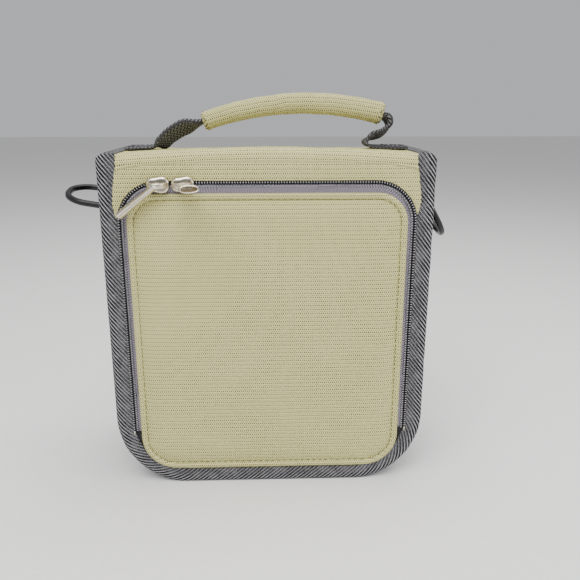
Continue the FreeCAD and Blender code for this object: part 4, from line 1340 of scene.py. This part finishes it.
def lining_piece():
    """The dark lining as one soft tub: walls, back, floor and ceiling."""
    half = LINING_HIGH.x - 0.6
    low, high = LINING_LOW.z + 0.6, LINING_HIGH.z - 0.6
    front, rear = LINING_LOW.y, LINING_HIGH.y - 0.6
    radius = 22.0

    def ring(shrink):
        outline = []
        h = half - shrink
        b, t = low + shrink, high - shrink
        foot, head = max(radius - shrink, 1.0), max(6.0 - shrink, 0.8)
        corners = ((h - foot, b + foot, foot, -math.pi / 2), (h - head, t - head, head, 0.0),
                   (-h + head, t - head, head, math.pi / 2), (-h + foot, b + foot, foot, math.pi))
        for x, z, turn, begin in corners:
            for step in range(11):
                angle = begin + step / 10 * math.pi / 2
                outline.append((x + turn * math.cos(angle), z + turn * math.sin(angle)))
        return outline

    rows = []
    for index in range(15):
        y = front + (rear - 3 - front) * index / 14
        rows.append([(x + 0.25 * wander((x, y, z), 14, 31), y, z) for x, z in ring(0)])
    for index in range(1, 5):
        angle = index / 4 * math.pi / 2
        rows.append([(x, rear - 3 + 3 * math.sin(angle), z)
                     for x, z in ring(3 - 3 * math.cos(angle))])
    for shrink in (8, 16, 26, 38, 50):
        rows.append([(x, rear - 0.35 * abs(wander((x, 0, z), 20, 33)), z)
                     for x, z in ring(shrink)])
    middle = (low + high) / 2
    for keep in (0.66, 0.33, 0.001):
        rows.append([(x * keep, rear, middle + (z - middle) * keep) for x, z in ring(50)])
    tub = walled(grid("lining_tub", rows, LINING, closed=True), 0.5, 0)
    fitted(tub, "bag", "lining", "lining")


def divider_piece():
    """The padded shelf between the compartments."""
    low, high = reach("divider")
    rows = []
    around = []
    tall = high.z - low.z
    steps = 40
    for z_side in (1, -1):
        for step in range(steps + 1):
            t = step / steps if z_side > 0 else 1 - step / steps
            y = low.y + (high.y - low.y) * t
            swell = math.sin(math.pi * t) ** 0.4
            around.append((y, z_side * (0.9 + (tall / 2 - 0.9) * swell)))
    across = 44
    for index in range(across + 1):
        t = index / across
        x = low.x + (high.x - low.x) * t
        ends = 0.35 + 0.65 * math.sin(math.pi * t) ** 0.35 if 0 < t < 1 else 0.35
        rows.append([(x, y, (low.z + high.z) / 2 + z * ends
                      - 0.25 * abs(wander((x, y, z), 16, 41))) for y, z in around])
    shelf = outward(grid("shelf_pad", rows, LINING, closed=True, caps=True))
    fitted(shelf, "bag", "lining", "divider")


def pile_strips():
    """Hook strips on the shelf's ends and loop strips on the walls."""
    for node, name in (("divider_hook_strips", "hook_strips"),
                       ("lining_loop_strips", "loop_strips")):
        low, high = reach(node)
        points = []
        faces = []
        marks = []
        for side in (-1, 1):
            outer = high.x
            inner = outer - 1.0
            start = len(points)
            for step in range(13):
                z = low.z + (high.z - low.z) * step / 12
                for y, x in ((low.y, outer), (low.y + 0.4, inner), (0, inner - 0.1),
                             (high.y - 0.4, inner), (high.y, outer)):
                    points.append((side * (x + 0.08 * wander((x, y, z), 3, 51)), y, z))
                    marks.append((y, z))
            for step in range(12):
                for c in range(4):
                    a = start + step * 5 + c
                    faces.append((a, a + 1, a + 6, a + 5))
                faces.append((start + step * 5 + 4, start + step * 5, start + step * 5 + 5,
                              start + step * 5 + 9))
            faces.append(tuple(start + i for i in range(5)))
            faces.append(tuple(start + 60 + i for i in range(4, -1, -1)))
        strips = outward(piece(name, points, faces, PILE, marks))
        fitted(strips, "bag", "hook_loop", node)


def cad_finishes():
    """Finishes of the nodes that keep their CAD shape."""
    chosen = {"ring_left": PLASTIC, "ring_right": PLASTIC, "base_board": BOARD,
              "zip_stops": NICKEL, "foam_gusset": FOAM, "foam_back": FOAM}
    for name, finish in chosen.items():
        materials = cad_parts[name].data.materials
        materials.clear()
        materials.append(finish)


# ---- stage ----

def stage():
    """A pale floor, soft lights and the camera."""
    floor_finish = Finish("pale_floor")
    speck = floor_finish.cloud(0.004, 3.0)
    floor_finish.wear(floor_finish.mix(shade(226, 225, 222), shade(236, 235, 233), speck),
                      0.7 + speck * 0.1, speck, 0.0001)
    wide, level = 4000, -0.1
    floor = piece("floor", [(-wide, -wide, level), (wide, -wide, level), (wide, wide, level),
                            (-wide, wide, level)], [(0, 1, 2, 3)], floor_finish.material)
    world = bpy.data.worlds.new("pale_room")
    world.use_nodes = True
    sky = world.node_tree.nodes["Background"].inputs
    sky["Color"].default_value = (0.93, 0.94, 0.97, 1)
    sky["Strength"].default_value = 0.55
    bpy.context.scene.world = world
    for name, place, aim, size, power in (
            ("key", (-0.18, -0.55, 0.85), (0, 0, 0.1), 0.7, 11.0),
            ("top", (0.1, 0.12, 0.9), (0, 0, 0.15), 0.6, 6.0),
            ("side", (0.8, -0.35, 0.35), (0, 0, 0.09), 0.5, 3.0)):
        light = bpy.data.lights.new(name, "AREA")
        light.size = size
        light.energy = power
        lamp = bpy.data.objects.new(name, light)
        lamp.location = place
        lamp.rotation_euler = (Vector(aim) - Vector(place)).to_track_quat("-Z", "Y").to_euler()
        bpy.context.scene.collection.objects.link(lamp)
    lens = bpy.data.cameras.new("camera")
    lens.lens = 38.98
    lens.sensor_width = 36
    lens.clip_start = 0.01
    camera = bpy.data.objects.new("camera", lens)
    camera.location = (0, -0.336, 0.1958)
    camera.rotation_euler = (math.radians(73.7), 0, math.radians(-2))
    bpy.context.scene.collection.objects.link(camera)
    bpy.context.scene.camera = camera


canvas_piece()
top_pad_piece()
bound_edge("front_edge", "front_binding", FRONT, 1, SHOULDER)
bound_edge("back_edge", "back_binding", BACK, -1, SHOULDER)
top_edge(-1)
top_edge(1)
gusset_piece()
door_pieces()
hinge_piece()
zip_pieces()
pull_pieces()
grip_line = handle_points()
grip_pieces(grip_line)
end_stitches(grip_line)
riser(-1, grip_line)
riser(1, grip_line)
anchor_stitch_piece()
side_pieces()
lining_piece()
divider_piece()
pile_strips()
cad_finishes()
stage()
